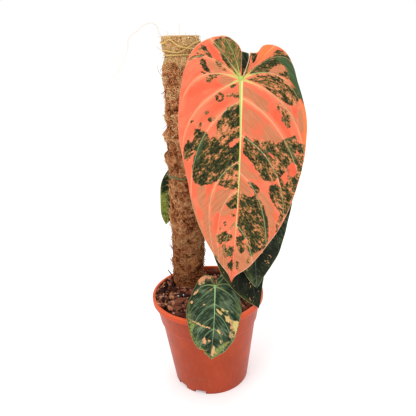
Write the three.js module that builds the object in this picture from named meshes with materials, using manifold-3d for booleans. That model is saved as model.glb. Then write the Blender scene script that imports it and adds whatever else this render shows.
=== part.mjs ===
// A climbing philodendron with five heart-shaped blades, tied to a coir pole in a round plastic pot.
// Millimetres, +Z up. The pot's foot stands on Z = 0 and the front of the plant looks along -Y.
import * as THREE from 'three';
import { mergeVertices } from 'three/addons/utils/BufferGeometryUtils.js';
import Module from 'manifold-3d';

const wasm = await Module();
wasm.setup();

// Driving dimensions
const TURN = Math.PI * 2;
const GAP = 0.3; // clearance between touching pieces

const POT_HEIGHT = 104;
const RIM_RADIUS = 60;
const LIP_HEIGHT = 6.4; // rolled edge round the rim
const COLLAR_DROP = 28.5; // rim down to the step below the collar
const BASE_RADIUS = 41;
const WALL = 1.9;
const FOOT_HEIGHT = 4.2; // ring that lifts the floor, with its drainage notches
const FOOT_WIDTH = 4;
const FLOOR_THICKNESS = 2;
const NOTCH_WIDTH = 12.5;
const NOTCH_ANGLES = [-19, -52, 161, 128]; // degrees from the front, towards +X
const DRAIN_HOLES = 6;
const DRAIN_RADIUS = 4;
const DRAIN_CIRCLE = 24;

const SOIL_LEVEL = 97;
const SOIL_MOUND = 5; // rise of the soil round the pole

const POLE_FOOT = new THREE.Vector3(-20.8, 30.5, 100);
const POLE_AXIS = new THREE.Vector3(0.0248, 0.009, 1).normalize();
const POLE_RADIUS = 17.1;
const POLE_TOP = 266; // above POLE_FOOT, along the axis
const SLEEVE_BOTTOM = -5;
const CORE_RADIUS = 7;
const CORE_BOTTOM = -55;
const CORE_TOP = 252;
const NECK_HEIGHT = 248.5; // where the coir is gathered by the twine
const NECK_RADIUS = 15.4;
const CAP_RADIUS = 18.2;
const CAP_HEIGHT = 257; // where the gathered coir has spread to the cap's width
const WIRE_HEIGHT = 128; // where the green wire holds stem and pole together
const TWINE_RADIUS = 0.9;
const WIRE_RADIUS = 0.7;
const TIE_SLACK = 0.35; // looseness of a tie on uneven coir

const STEM_RADIUS = 5;
const PETIOLE_RADIUS = 2.2;
const BLADE_THICKNESS = 0.8;
const RIB_RISE = 0.25; // how far the midrib stands out in front, as a share of its half width
const RIB_DEPTH = 0.8; // and behind

// Colours
const material = (color, roughness) => new THREE.MeshStandardMaterial({ color, roughness, metalness: 0 });
const PLASTIC = material(0xb8492c, 0.5);
const SOIL = material(0x3a2a22, 1);
const BARK = material(0x5a342c, 0.9);
const WOOD = material(0xb5713f, 0.8);
const COIR = material(0xa8753f, 1);
const TWINE = material(0xcfa862, 0.9);
const WIRE = material(0x4f7a45, 0.5);
const STEM = material(0x6f7a3c, 0.6);
const PETIOLE = material(0x8f9a55, 0.6);
const CORAL_BLADE = material(0xf47a55, 0.55);
const GREEN_BLADE = material(0x2f4030, 0.55);

const group = new THREE.Group();

function addMesh(name, geometry, finish, parent = group) {
  const mesh = new THREE.Mesh(geometry, finish);
  mesh.name = name;
  parent.add(mesh);
  return mesh;
}

// Closed bodies
function closedBody(positions, index) {
  const corner = i => new THREE.Vector3().fromArray(positions, index[i] * 3);
  let volume = 0;
  for (let i = 0; i < index.length; i += 3) {
    volume += corner(i).dot(corner(i + 1).cross(corner(i + 2)));
  }
  const facing = volume > 0 ? index : index.map((_, i) => index[i - (i % 3) + 2 - (i % 3)]);
  const geometry = new THREE.BufferGeometry();
  geometry.setAttribute('position', new THREE.Float32BufferAttribute(positions, 3));
  geometry.setIndex(facing);
  geometry.computeVertexNormals();
  return geometry;
}

function solidOf(geometry, matrix = new THREE.Matrix4()) {
  const bare = new THREE.BufferGeometry();
  bare.setAttribute('position', geometry.getAttribute('position').clone());
  if (geometry.index) {
    bare.setIndex(geometry.index.clone());
  }
  bare.applyMatrix4(matrix);
  const merged = mergeVertices(bare, 1e-4);
  return new wasm.Manifold(new wasm.Mesh({
    numProp: 3,
    vertProperties: new Float32Array(merged.getAttribute('position').array),
    triVerts: new Uint32Array(merged.index.array),
  }));
}

function geometryOf(solid) {
  const mesh = solid.getMesh();
  const geometry = new THREE.BufferGeometry();
  geometry.setAttribute('position', new THREE.BufferAttribute(new Float32Array(mesh.vertProperties), 3));
  geometry.setIndex(new THREE.BufferAttribute(new Uint32Array(mesh.triVerts), 1));
  geometry.computeVertexNormals();
  return geometry;
}

function lathe(points, segments) {
  const geometry = new THREE.LatheGeometry(points.map(([r, z]) => new THREE.Vector2(r, z)), segments);
  geometry.rotateX(Math.PI / 2); // the profile's height becomes +Z
  const merged = mergeVertices(new THREE.BufferGeometry()
    .setAttribute('position', geometry.getAttribute('position')).setIndex(geometry.index), 1e-4);
  const index = Array.from(merged.index.array);
  const kept = [];
  for (let i = 0; i < index.length; i += 3) {
    const [a, b, c] = index.slice(i, i + 3);
    if (a !== b && b !== c && c !== a) {
      kept.push(a, b, c);
    }
  }
  return closedBody(Array.from(merged.getAttribute('position').array), kept);
}

function cylinder(radius, bottom, top, segments = 24) {
  return lathe([[0, bottom], [radius, bottom], [radius, top], [0, top]], segments);
}

// A tube of rings along a curve, closed at its ends or, on a closed curve, round itself.
function tube(curve, radiusAt, sides, steps, closed = false) {
  const frames = curve.computeFrenetFrames(steps, closed);
  const rings = closed ? steps : steps + 1;
  const positions = [];
  const index = [];
  for (let i = 0; i < rings; i++) {
    const centre = curve.getPointAt(i / steps);
    for (let j = 0; j < sides; j++) {
      const angle = (j / sides) * TURN;
      const radius = radiusAt(i / steps, angle);
      const point = centre.clone()
        .addScaledVector(frames.normals[i], radius * Math.cos(angle))
        .addScaledVector(frames.binormals[i], radius * Math.sin(angle));
      positions.push(...point.toArray());
    }
  }
  for (let i = 0; i < steps; i++) {
    const next = (i + 1) % rings;
    for (let j = 0; j < sides; j++) {
      const side = (j + 1) % sides;
      const [a, b, c, d] = [i * sides + j, i * sides + side, next * sides + side, next * sides + j];
      index.push(a, b, c, a, c, d);
    }
  }
  if (!closed) {
    for (let j = 1; j < sides - 1; j++) {
      index.push(0, j + 1, j);
      const last = steps * sides;
      index.push(last, last + j, last + j + 1);
    }
  }
  return closedBody(positions, index);
}

// Repeatable unevenness
function scatter(i, j, seed) {
  const s = Math.sin(i * 127.1 + j * 311.7 + seed * 74.7) * 43758.5453;
  return s - Math.floor(s);
}

function unevenness(x, y, seed) {
  const [i, j] = [Math.floor(x), Math.floor(y)];
  const ease = t => t * t * (3 - 2 * t);
  const [u, v] = [ease(x - i), ease(y - j)];
  const low = scatter(i, j, seed) * (1 - u) + scatter(i + 1, j, seed) * u;
  const high = scatter(i, j + 1, seed) * (1 - u) + scatter(i + 1, j + 1, seed) * u;
  return (low * (1 - v) + high * v) * 2 - 1;
}

// The same round the pole, where the angle comes back to its start after a whole number of cells
function ringUnevenness(angle, cells, height, seed) {
  const x = (angle / TURN) * cells;
  const i = Math.floor(x);
  const j = Math.floor(height);
  const ease = t => t * t * (3 - 2 * t);
  const [u, v] = [ease(x - i), ease(height - j)];
  const at = (a, b) => scatter(((a % cells) + cells) % cells, b, seed);
  const low = at(i, j) * (1 - u) + at(i + 1, j) * u;
  const high = at(i, j + 1) * (1 - u) + at(i + 1, j + 1) * u;
  return (low * (1 - v) + high * v) * 2 - 1;
}

// Pot
const STEP_HEIGHT = POT_HEIGHT - COLLAR_DROP;
const LIP_BOTTOM = POT_HEIGHT - LIP_HEIGHT;
const COLLAR_TOP_RADIUS = RIM_RADIUS - 3.4;
const COLLAR_LOW_RADIUS = 52.8;
const WALL_TOP_RADIUS = 51.2;
const FLOOR_CORNER = 2.4; // inside the wall's foot, where the floor starts

function potProfile() {
  const floor = FOOT_HEIGHT + FLOOR_THICKNESS;
  return [
    [0, FOOT_HEIGHT], [BASE_RADIUS - FOOT_WIDTH, FOOT_HEIGHT], [BASE_RADIUS - FOOT_WIDTH + 0.4, 0],
    [BASE_RADIUS - 0.8, 0], [BASE_RADIUS, 0.8], [BASE_RADIUS + 0.9, FOOT_HEIGHT + 2.5],
    [WALL_TOP_RADIUS, STEP_HEIGHT - 1.2], [COLLAR_LOW_RADIUS, STEP_HEIGHT],
    [COLLAR_TOP_RADIUS, LIP_BOTTOM - 0.4], [RIM_RADIUS - 1, LIP_BOTTOM], [RIM_RADIUS, LIP_BOTTOM + 1.2],
    [RIM_RADIUS, POT_HEIGHT - 1.4], [RIM_RADIUS - 0.8, POT_HEIGHT - 0.2], [RIM_RADIUS - 2, POT_HEIGHT],
    [RIM_RADIUS - 3.2, POT_HEIGHT - 0.5], [RIM_RADIUS - 4.2, LIP_BOTTOM + 1],
    [COLLAR_LOW_RADIUS - WALL, STEP_HEIGHT + 0.6], [WALL_TOP_RADIUS - WALL, STEP_HEIGHT - 1.6],
    [BASE_RADIUS - 0.7, floor + 1.5], [BASE_RADIUS - FLOOR_CORNER, floor], [0, floor],
  ];
}

function pot() {
  let body = solidOf(lathe(potProfile(), 48));
  for (const degrees of NOTCH_ANGLES) {
    const notch = new THREE.BoxGeometry(NOTCH_WIDTH, 2.6 * FOOT_WIDTH, 2 * FOOT_HEIGHT);
    const turn = new THREE.Matrix4().makeRotationZ(THREE.MathUtils.degToRad(degrees));
    notch.translate(0, -(BASE_RADIUS - FOOT_WIDTH / 2), -0.05);
    body = body.subtract(solidOf(notch, turn));
  }
  for (let i = 0; i < DRAIN_HOLES; i++) {
    const hole = cylinder(DRAIN_RADIUS, -1, 2 * (FOOT_HEIGHT + FLOOR_THICKNESS), 16);
    const angle = ((i + 0.5) / DRAIN_HOLES) * TURN;
    hole.translate(DRAIN_CIRCLE * Math.cos(angle), DRAIN_CIRCLE * Math.sin(angle), 0);
    body = body.subtract(solidOf(hole));
  }
  return geometryOf(body);
}

// Pole: a wooden core in a coir sleeve, gathered and tied at the top
const pole = new THREE.Group();
pole.position.copy(POLE_FOOT);
pole.quaternion.setFromUnitVectors(new THREE.Vector3(0, 0, 1), POLE_AXIS);
pole.updateMatrixWorld(true);

// Loose folds of the coir: angle in degrees from +X, height, how far they stand out
const COIR_FOLDS = [
  [196, 172, 4.2], [190, 150, 4.4], [178, 236, 1.6], [215, 118, 1.8], [265, 190, 1.6],
  [20, 60, 1.6], [300, 32, 1.8], [100, 90, 2.4], [60, 160, 2.2], [140, 40, 2.0], [80, 214, 2.0],
];

const FOLD_WIDTH = 22; // degrees
const FOLD_OVER = 3; // a fold ends sharply above
const FOLD_UNDER = 9; // and runs out slowly below
const COIR_LUMPS = [
  { around: 9, along: 9, rise: 0.9, seed: 3 },
  { around: 16, along: 5, rise: 0.5, seed: 5 },
];

const bell = (away, width) => Math.exp(-((away / width) ** 2));

function coirRadius(angle, height) {
  const calm = 1 - Math.max(bell(height - WIRE_HEIGHT, 5), bell(height - SLEEVE_BOTTOM, 12));
  let radius = POLE_RADIUS;
  for (const { around, along, rise, seed } of COIR_LUMPS) {
    radius += calm * rise * ringUnevenness(angle, around, height / along, seed);
  }
  for (const [degrees, at, out] of COIR_FOLDS) {
    const turned = THREE.MathUtils.euclideanModulo((angle * 360) / TURN - degrees + 180, 360) - 180;
    radius += out * bell(turned, FOLD_WIDTH) * bell(height - at, height > at ? FOLD_OVER : FOLD_UNDER);
  }
  const spread = THREE.MathUtils.smoothstep(height, NECK_HEIGHT + 0.5, CAP_HEIGHT);
  const cap = THREE.MathUtils.lerp(NECK_RADIUS, CAP_RADIUS, spread);
  const gather = THREE.MathUtils.smoothstep(height, NECK_HEIGHT - 9, NECK_HEIGHT - 1);
  return THREE.MathUtils.lerp(radius, cap, gather);
}

function coirHeights() {
  const step = 7.8;
  const heights = [];
  for (let z = SLEEVE_BOTTOM; z < NECK_HEIGHT - step; z += step) {
    heights.push(z);
  }
  const gathered = [-7.5, -4, -1.2, 1.2, 4, 7.5, 11.5, 15.5].map(rise => NECK_HEIGHT + rise);
  return heights.concat(gathered, POLE_TOP);
}

const CAP_ROUNDING = 1.2;
const CAP_RAGGED = 0.6;
const CAP_DIP = 2;

function coirSleeve() {
  const sides = 32;
  const heights = coirHeights();
  const positions = [];
  const index = [];
  heights.forEach((height, i) => {
    for (let j = 0; j < sides; j++) {
      const angle = (j / sides) * TURN;
      const last = i === heights.length - 1;
      const radius = coirRadius(angle, height) - (last ? CAP_ROUNDING : 0);
      const ragged = last ? CAP_RAGGED * ringUnevenness(angle, 18, 0.5, 11) : 0;
      positions.push(radius * Math.cos(angle), radius * Math.sin(angle), height + ragged);
    }
  });
  for (let i = 0; i < heights.length - 1; i++) {
    for (let j = 0; j < sides; j++) {
      const side = (j + 1) % sides;
      const [a, b, c, d] = [i * sides + j, i * sides + side, (i + 1) * sides + side, (i + 1) * sides + j];
      index.push(a, b, c, a, c, d);
    }
  }
  const top = (heights.length - 1) * sides;
  const middle = positions.length / 3;
  positions.push(0, 0, POLE_TOP - CAP_DIP, 0, 0, SLEEVE_BOTTOM);
  for (let j = 0; j < sides; j++) {
    index.push(top + j, top + ((j + 1) % sides), middle);
    index.push((j + 1) % sides, j, middle + 1);
  }
  const bore = solidOf(cylinder(CORE_RADIUS + GAP, SLEEVE_BOTTOM - 10, CORE_TOP + GAP, 20));
  return geometryOf(solidOf(closedBody(positions, index)).subtract(bore));
}

// The twine is wound three times round the gathered coir and knotted, so its turns are one piece.
// Each turn has a mean height, a rise and the side it rises to, and a dip in one place (degrees).
const TWINE_TURNS = [
  { height: NECK_HEIGHT, rise: 0, high: 0, dip: 0, at: 0, width: 1, out: 0 },
  { height: 256.2, rise: 4.6, high: -20, dip: 6.4, at: 268, width: 38, out: 0 },
  { height: 257.4, rise: 3.4, high: 150, dip: -5, at: 242, width: 18, out: 0.3 },
];
const TWINE_KNOT = [
  [17, 3.4, NECK_HEIGHT], [18.6, 3.8, 250.4], [19.6, 4, 252.5], [20, 3, 256], [19.4, 1.6, 260],
].map(p => new THREE.Vector3(...p));

function twineTurn({ height, rise, high, dip, at, width, out }) {
  const around = 36;
  const points = [];
  for (let j = 0; j < around; j++) {
    const angle = (j / around) * TURN;
    const tilt = rise * Math.cos(angle - THREE.MathUtils.degToRad(high));
    const z = height + tilt - dip * bell((angle * 360) / TURN - at, width);
    const reach = coirRadius(angle, z) + GAP + TWINE_RADIUS + TIE_SLACK / 2 + out;
    points.push(new THREE.Vector3(reach * Math.cos(angle), reach * Math.sin(angle), z));
  }
  return solidOf(tube(new THREE.CatmullRomCurve3(points, true), () => TWINE_RADIUS, 5, 40, true));
}

function twine() {
  const knotRadius = t => TWINE_RADIUS * (1.1 + 0.5 * Math.sin(Math.PI * t));
  const knot = solidOf(tube(new THREE.CatmullRomCurve3(TWINE_KNOT), knotRadius, 6, 8));
  return geometryOf(TWINE_TURNS.map(twineTurn).reduce((body, turn) => body.add(turn), knot));
}

// Soil
const MOUND_WIDTH = 26;
const CRUMBS = [{ width: 7, rise: 1.1, seed: 21 }, { width: 3.6, rise: 1, seed: 22 }];
const SOIL_EDGE = COLLAR_TOP_RADIUS - WALL - 1.4;
const SOIL_EDGE_DROP = 1.4;
const SOIL_CLEARANCE = 0.5;

function soilHeight(x, y) {
  const fromPole = Math.hypot(x - POLE_FOOT.x, y - POLE_FOOT.y);
  let height = SOIL_LEVEL + SOIL_MOUND * bell(fromPole, MOUND_WIDTH);
  for (const { width, rise, seed } of CRUMBS) {
    height += rise * unevenness(x / width, y / width, seed);
  }
  return height;
}

function soilBody() {
  const sides = 48;
  const rings = 12;
  const positions = [0, 0, soilHeight(0, 0)];
  const index = [];
  for (let i = 1; i <= rings; i++) {
    const reach = SOIL_EDGE * (i / rings);
    for (let j = 0; j < sides; j++) {
      const angle = (j / sides) * TURN;
      const [x, y] = [reach * Math.cos(angle), reach * Math.sin(angle)];
      positions.push(x, y, i === rings ? SOIL_LEVEL - SOIL_EDGE_DROP : soilHeight(x, y));
    }
  }
  const floor = FOOT_HEIGHT + FLOOR_THICKNESS + GAP;
  const side = [
    [COLLAR_LOW_RADIUS - WALL - SOIL_CLEARANCE, STEP_HEIGHT + 1],
    [WALL_TOP_RADIUS - WALL - SOIL_CLEARANCE, STEP_HEIGHT - 2],
    [BASE_RADIUS - FLOOR_CORNER - SOIL_CLEARANCE, floor],
  ];
  for (const [radius, height] of side) {
    for (let j = 0; j < sides; j++) {
      const angle = (j / sides) * TURN;
      positions.push(radius * Math.cos(angle), radius * Math.sin(angle), height);
    }
  }
  const bottom = positions.length / 3;
  positions.push(0, 0, floor);
  const ringStart = i => 1 + (i - 1) * sides;
  for (let j = 0; j < sides; j++) {
    index.push(0, ringStart(1) + j, ringStart(1) + ((j + 1) % sides));
    for (let i = 1; i < rings + side.length; i++) {
      const [a, b] = [ringStart(i) + j, ringStart(i) + ((j + 1) % sides)];
      index.push(a, a + sides, b + sides, a, b + sides, b);
    }
    const last = ringStart(rings + side.length);
    index.push(bottom, last + ((j + 1) % sides), last + j);
  }
  return solidOf(closedBody(positions, index));
}

// Bark chips: place on the soil, size, turn about the vertical, tip forward (degrees)
const BARK_CHIPS = [
  { name: 'bark_chip_back', at: [6, 45.5], size: [15, 7, 13], lift: 3.5, turn: 12, tip: 14 },
  { name: 'bark_chip_flat', at: [-26.5, -37.5], size: [14, 8, 5], lift: 1.6, turn: -4, tip: -18 },
  { name: 'bark_chip_red', at: [-31, -13], size: [11, 8, 6], lift: 2.2, turn: 35, tip: 12 },
  { name: 'bark_chip_split', at: [-33, -27], size: [10, 7, 6], lift: 2.0, turn: -28, tip: 8 },
  { name: 'bark_chip_rim', at: [-47, -9], size: [11, 6, 5], lift: 1.6, turn: 64, tip: 6 },
  { name: 'bark_chip_side', at: [26, 42], size: [12, 7, 6], lift: 1.8, turn: -38, tip: 10 },
  { name: 'bark_chip_front', at: [36, -33], size: [10, 7, 5], lift: 1.2, turn: 40, tip: -10 },
];

const CHIP_ROUGHNESS = 0.22;
const CHIP_ROUNDING = 0.16;

function chip({ at, size, lift, turn, tip }, seed, grow = 0) {
  const halfDiagonal = Math.sqrt(3) / 2;
  const geometry = new THREE.BoxGeometry(1, 1, 1, 3, 2, 2);
  const place = geometry.getAttribute('position');
  for (let i = 0; i < place.count; i++) {
    const corner = new THREE.Vector3().fromBufferAttribute(place, i);
    const key = corner.toArray().map(v => Math.round(v * 6));
    const rough = 1 + CHIP_ROUGHNESS * (scatter(key[0] + 3 * key[1], key[2], seed) - 0.5);
    const round = 1 - CHIP_ROUNDING * (corner.length() / halfDiagonal) ** 4;
    const stretch = size.map(v => v * rough * round + 2 * grow);
    place.setXYZ(i, ...corner.multiply(new THREE.Vector3(...stretch)).toArray());
  }
  geometry.rotateX(THREE.MathUtils.degToRad(tip));
  geometry.rotateZ(THREE.MathUtils.degToRad(turn));
  geometry.translate(at[0], at[1], SOIL_LEVEL + lift);
  return solidOf(geometry);
}

// Splinters of wood in the soil
const STICKS = [
  { name: 'wood_strip', finish: WOOD, from: [-53.5, 11, 101.6], to: [-41.2, 33, 103.4], radius: 1.9 },
  { name: 'dark_twig', finish: BARK, from: [-39.6, 37.5, 101], to: [-45.5, 38.5, 112], radius: 1 },
];
const STICK_BOW = new THREE.Vector3(0, 0.4, 0.5);
const STICK_ROUGHNESS = 0.12;

function stick({ from, to, radius }, grow = 0) {
  const [start, end] = [new THREE.Vector3(...from), new THREE.Vector3(...to)];
  const middle = start.clone().lerp(end, 0.5).add(STICK_BOW);
  const radiusAt = (t, angle) => radius * (1 + STICK_ROUGHNESS * Math.sin(3 * angle + 9 * t)) + grow;
  return solidOf(tube(new THREE.CatmullRomCurve3([start, middle, end]), radiusAt, 7, 5));
}

// Leaves. A blade point is given by how far it lies across and along the blade from the petiole.
function marginPoint(margin, position) {
  const curve = new THREE.SplineCurve(margin.map(([x, d]) => new THREE.Vector2(x, d)));
  return curve.getPoint(position / (margin.length - 1));
}

// Veins leave the petiole or the midrib in shallow arcs and end on the margin.
// Each is [start along the midrib, mid-point across, mid-point along, place on the margin].
const VEIN_BOW = 0.165; // how far a vein bows from its chord, at most

function archedVeins(margin, length, basal, lateral) {
  const last = margin.length - 1;
  const [firstPlace, lastBasalPlace, lastPlace] = [0.1, 0.46, 0.9];
  const veins = [];
  for (let i = 0; i < basal + lateral; i++) {
    const step = (i - basal + 1) / (lateral + 1);
    const start = i < basal ? 0 : length * (0.04 + 0.7 * step);
    const share = i < basal ? THREE.MathUtils.lerp(firstPlace, lastBasalPlace, i / (basal - 1))
      : THREE.MathUtils.lerp(lastBasalPlace, lastPlace, step);
    const end = marginPoint(margin, last * share);
    const chord = Math.hypot(end.x, end.y - start);
    const slope = THREE.MathUtils.clamp((end.y - start) / chord + 0.6, 0, 1);
    const bow = Math.sign(end.x) * VEIN_BOW * (0.35 + 0.65 * slope);
    veins.push([start, end.x / 2 + bow * (end.y - start), (start + end.y) / 2 - bow * end.x, last * share]);
  }
  return veins;
}

// The midrib bows a little to one side between the petiole and the tip.
function ribOffset({ length, ribBow }, d) {
  const t = THREE.MathUtils.clamp(d / length, 0, 1);
  return 4 * ribBow * t * (1 - t);
}

// Between two veins the rows of the blade blend from one arc to the next.
function arcsOf(side, shape) {
  const { length } = shape;
  const rows = [[0, ...side.sinus, 0], ...side.veins, [length, 0, length, side.margin.length - 1]];
  return rows.map(([start, viaX, viaD, place]) => {
    const end = marginPoint(side.margin, place);
    return [start, 2 * viaX - (ribOffset(shape, start) + end.x) / 2, 2 * viaD - (start + end.y) / 2, place];
  });
}

function veinRow(leaf, side, k) {
  const i = Math.min(Math.floor(k), side.arcs.length - 2);
  const between = k - i;
  const [start, pullX, pullD, place] = side.arcs[i].map((v, n) => v + (side.arcs[i + 1][n] - v) * between);
  const end = marginPoint(side.margin, place);
  return { start, startX: ribOffset(leaf, start), pullX, pullD, end, between };
}

function rowPoint({ start, startX, pullX, pullD, end }, b) {
  const x = (1 - b) ** 2 * startX + 2 * (1 - b) * b * pullX + b * b * end.x;
  const d = (1 - b) ** 2 * start + 2 * (1 - b) * b * pullD + b * b * end.y;
  return [x, d];
}

// The blade hangs by its bend, a list of [distance along it, degrees from the vertical].
function bendTable(bend) {
  const [from, to] = [bend[0][0], bend[bend.length - 1][0]];
  const rows = [];
  let [y, z] = [0, 0];
  for (let d = from; d <= to; d++) {
    const next = Math.max(1, bend.findIndex(([at]) => at >= d));
    const [[d0, a0], [d1, a1]] = [bend[next - 1], bend[next]];
    const angle = THREE.MathUtils.degToRad(a0 + ((a1 - a0) * (d - d0)) / (d1 - d0));
    rows.push({ d, y, z, angle });
    y -= Math.sin(angle);
    z -= Math.cos(angle);
  }
  const rest = rows.find(row => row.d === 0);
  return rows.map(row => ({ ...row, y: row.y - rest.y, z: row.z - rest.z }));
}

function bladePoint(leaf, x, d, h) {
  const at = THREE.MathUtils.clamp(d - leaf.table[0].d, 0, leaf.table.length - 1.001);
  const [low, high] = [leaf.table[Math.floor(at)], leaf.table[Math.floor(at) + 1]];
  const mix = key => low[key] + (high[key] - low[key]) * (at - Math.floor(at));
  const curl = x < 0 ? leaf.curl[0] : leaf.curl[1];
  const out = h - (1 - Math.cos(curl * x)) / curl;
  const angle = mix('angle');
  const [y, z] = [mix('y') - Math.cos(angle) * out, mix('z') + Math.sin(angle) * out];
  return new THREE.Vector3(Math.sin(curl * x) / curl, y, z);
}

function bladeMatrix(leaf) {
  const [lean, yaw] = [leaf.lean, leaf.yaw].map(THREE.MathUtils.degToRad);
  const matrix = new THREE.Matrix4().makeRotationFromEuler(new THREE.Euler(0, lean, yaw, 'ZYX'));
  return matrix.setPosition(...leaf.knot);
}

const RIB_TAPER = 0.75;
const ribHalfWidth = (leaf, d) => leaf.rib * (1 - (RIB_TAPER * Math.max(0, d)) / leaf.length);

const WAVES_PER_VEIN = 1.9;
const INNERMOST = 0.35; // a row starts no further out than this share of its arc

// One blade: quilted between its veins, waved at its margin, with a midrib that stands out behind.
function blade(leaf) {
  const corners = [];
  const keys = new Map();
  const triangles = [];
  const corner = (x, d, rise, back) => {
    const key = `${Math.round(x * 1000)},${Math.round(d * 1000)}`;
    if (!keys.has(key)) {
      keys.set(key, corners.length);
      corners.push({ x, d, rise, back });
    }
    return keys.get(key);
  };
  const triangle = (facing, a, b, c) => {
    if (a !== b && b !== c && c !== a) {
      triangles.push(facing > 0 ? [a, b, c] : [a, c, b]);
    }
  };
  const ridge = [];
  for (let i = 0; i <= leaf.ridgeSteps; i++) {
    const d = (leaf.length * i) / leaf.ridgeSteps;
    const height = leaf.rib * (1 - RIB_TAPER * (i / leaf.ridgeSteps));
    ridge.push({ d, id: corner(ribOffset(leaf, d), d, RIB_RISE * height, RIB_DEPTH * height) });
  }
  for (const side of leaf.sides) {
    const facing = Math.sign(side.margin[0][0]);
    const rows = [];
    const count = (side.veins.length + 1) * leaf.rowsPerVein;
    for (let i = 0; i <= count; i++) {
      const row = veinRow(leaf, side, i / leaf.rowsPerVein);
      const pull = 2 * Math.hypot(row.pullX - row.startX, row.pullD - row.start);
      const first = i === count ? 1 : Math.min(INNERMOST, ribHalfWidth(leaf, row.start) / pull);
      const ids = [];
      for (let j = 0; j <= leaf.columns; j++) {
        const b = first + (1 - first) * (j / leaf.columns);
        const [x, d] = rowPoint(row, b);
        const across = Math.sin(Math.PI * Math.min(0.999, b)) ** 0.7;
        const quilt = leaf.quilt * Math.sin(Math.PI * row.between) * across;
        const wave = leaf.wave * b * b * Math.sin(WAVES_PER_VEIN * (i / leaf.rowsPerVein) + side.phase);
        ids.push(corner(x, d, quilt + wave, 0));
      }
      rows.push({ start: row.start, ids });
    }
    for (let i = 0; i < count; i++) {
      for (let j = 0; j < leaf.columns; j++) {
        const [a, b, c, d] = [rows[i].ids[j], rows[i].ids[j + 1], rows[i + 1].ids[j + 1], rows[i + 1].ids[j]];
        triangle(facing, a, b, c);
        triangle(facing, a, c, d);
      }
    }
    // The midrib joins each half's innermost points.
    let r = 0;
    for (let i = 0; i < count; i++) {
      const reach = (rows[i].start + rows[i + 1].start) / 2;
      while (r < ridge.length - 1 && (ridge[r].d + ridge[r + 1].d) / 2 < reach) {
        triangle(facing, ridge[r].id, rows[i].ids[0], ridge[r + 1].id);
        r++;
      }
      triangle(facing, ridge[r].id, rows[i].ids[0], rows[i + 1].ids[0]);
    }
    for (; r < ridge.length - 1; r++) {
      triangle(facing, ridge[r].id, rows[count].ids[0], ridge[r + 1].id);
    }
  }
  return blade3d(leaf, corners, triangles);
}

function blade3d(leaf, corners, triangles) {
  const positions = [];
  const index = [];
  for (const { x, d, rise } of corners) {
    positions.push(...bladePoint(leaf, x, d, rise + BLADE_THICKNESS / 2).toArray());
  }
  for (const { x, d, rise, back } of corners) {
    positions.push(...bladePoint(leaf, x, d, rise - BLADE_THICKNESS / 2 - back).toArray());
  }
  const edges = new Map();
  for (const [a, b, c] of triangles) {
    index.push(a, b, c, a + corners.length, c + corners.length, b + corners.length);
    for (const [from, to] of [[a, b], [b, c], [c, a]]) {
      if (!edges.delete(`${to},${from}`)) {
        edges.set(`${from},${to}`, [from, to]);
      }
    }
  }
  for (const [from, to] of edges.values()) {
    const [below, belowTo] = [from + corners.length, to + corners.length];
    index.push(to, from, below, to, below, belowTo);
  }
  return closedBody(positions, index);
}

function leafOf(shape) {
  const sides = shape.margins.map((margin, i) => ({
    margin,
    veins: shape.veins ? shape.veins[i] : archedVeins(margin, shape.length, shape.basal, shape.lateral),
    sinus: shape.sinus[i],
    phase: i * 1.3 + shape.phase,
  }));
  sides.forEach(side => {
    side.arcs = arcsOf(side, shape);
  });
  return { ...shape, sides, table: bendTable(shape.bend) };
}

const MAIN_LEAF = leafOf({
  knot: [38.5, -31, 327.7], yaw: 0, lean: 4.72, length: 186.7, curl: [0.0055, 0.006],
  bend: [[-50, 28], [0, 6], [120, 7], [200, 13]],
  sinus: [[0.1, -12], [4.3, -11]],
  margins: [
    [[-0.4, -23], [-4.4, -29.2], [-13.9, -35.3], [-26.7, -35], [-38.2, -29.4], [-46, -18.5], [-51.7, 0.7],
      [-54.6, 28], [-53.6, 53.1], [-48.5, 76.2], [-44.1, 93.6], [-40.2, 112], [-33, 132.1], [-24, 149.9],
      [-11.9, 168.1], [-3.4, 179], [0, 186.7]],
    [[6.7, -22.4], [13.3, -23], [18.6, -29.5], [29.1, -30.5], [40, -23.9], [46.9, -12.5], [51.7, 0.5],
      [58.8, 15.8], [64, 30.7], [66.1, 46.9], [65.7, 68.1], [61.9, 87.3], [55.6, 108.4], [45.8, 131.7],
      [30.8, 154.1], [16.8, 170.5], [3.6, 180], [0, 186.7]],
  ],
  veins: [
    [[0, -7.6, -21.6, 2.3], [0, -15.6, -20.1, 3.1], [0, -32.5, -18.3, 5.6], [0, -37.9, 0.6, 7.3],
      [0, -40.2, 31.1, 8.8], [18.5, -32.2, 53.6, 10.9], [71.3, -22, 104.8, 13.6], [98.8, -13, 120.9, 14],
      [128, -6.8, 146.5, 14.4]],
    [[0, 7.8, -11.8, 1.5], [0, 16.8, -18.4, 3], [0, 30, -20.2, 5.1], [0, 37.9, -1.6, 8.6],
      [0, 42.9, 23.5, 10], [15.7, 34.5, 41, 11], [47.8, 35.1, 79.2, 12.8], [81.5, 22.8, 108.9, 13.9],
      [131.3, 12.7, 145.4, 14.8]],
  ],
  ribBow: 2.6, rib: 2.2, quilt: 1.3, wave: 1, phase: 0.4, rowsPerVein: 3, columns: 6, ridgeSteps: 16,
});

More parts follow.
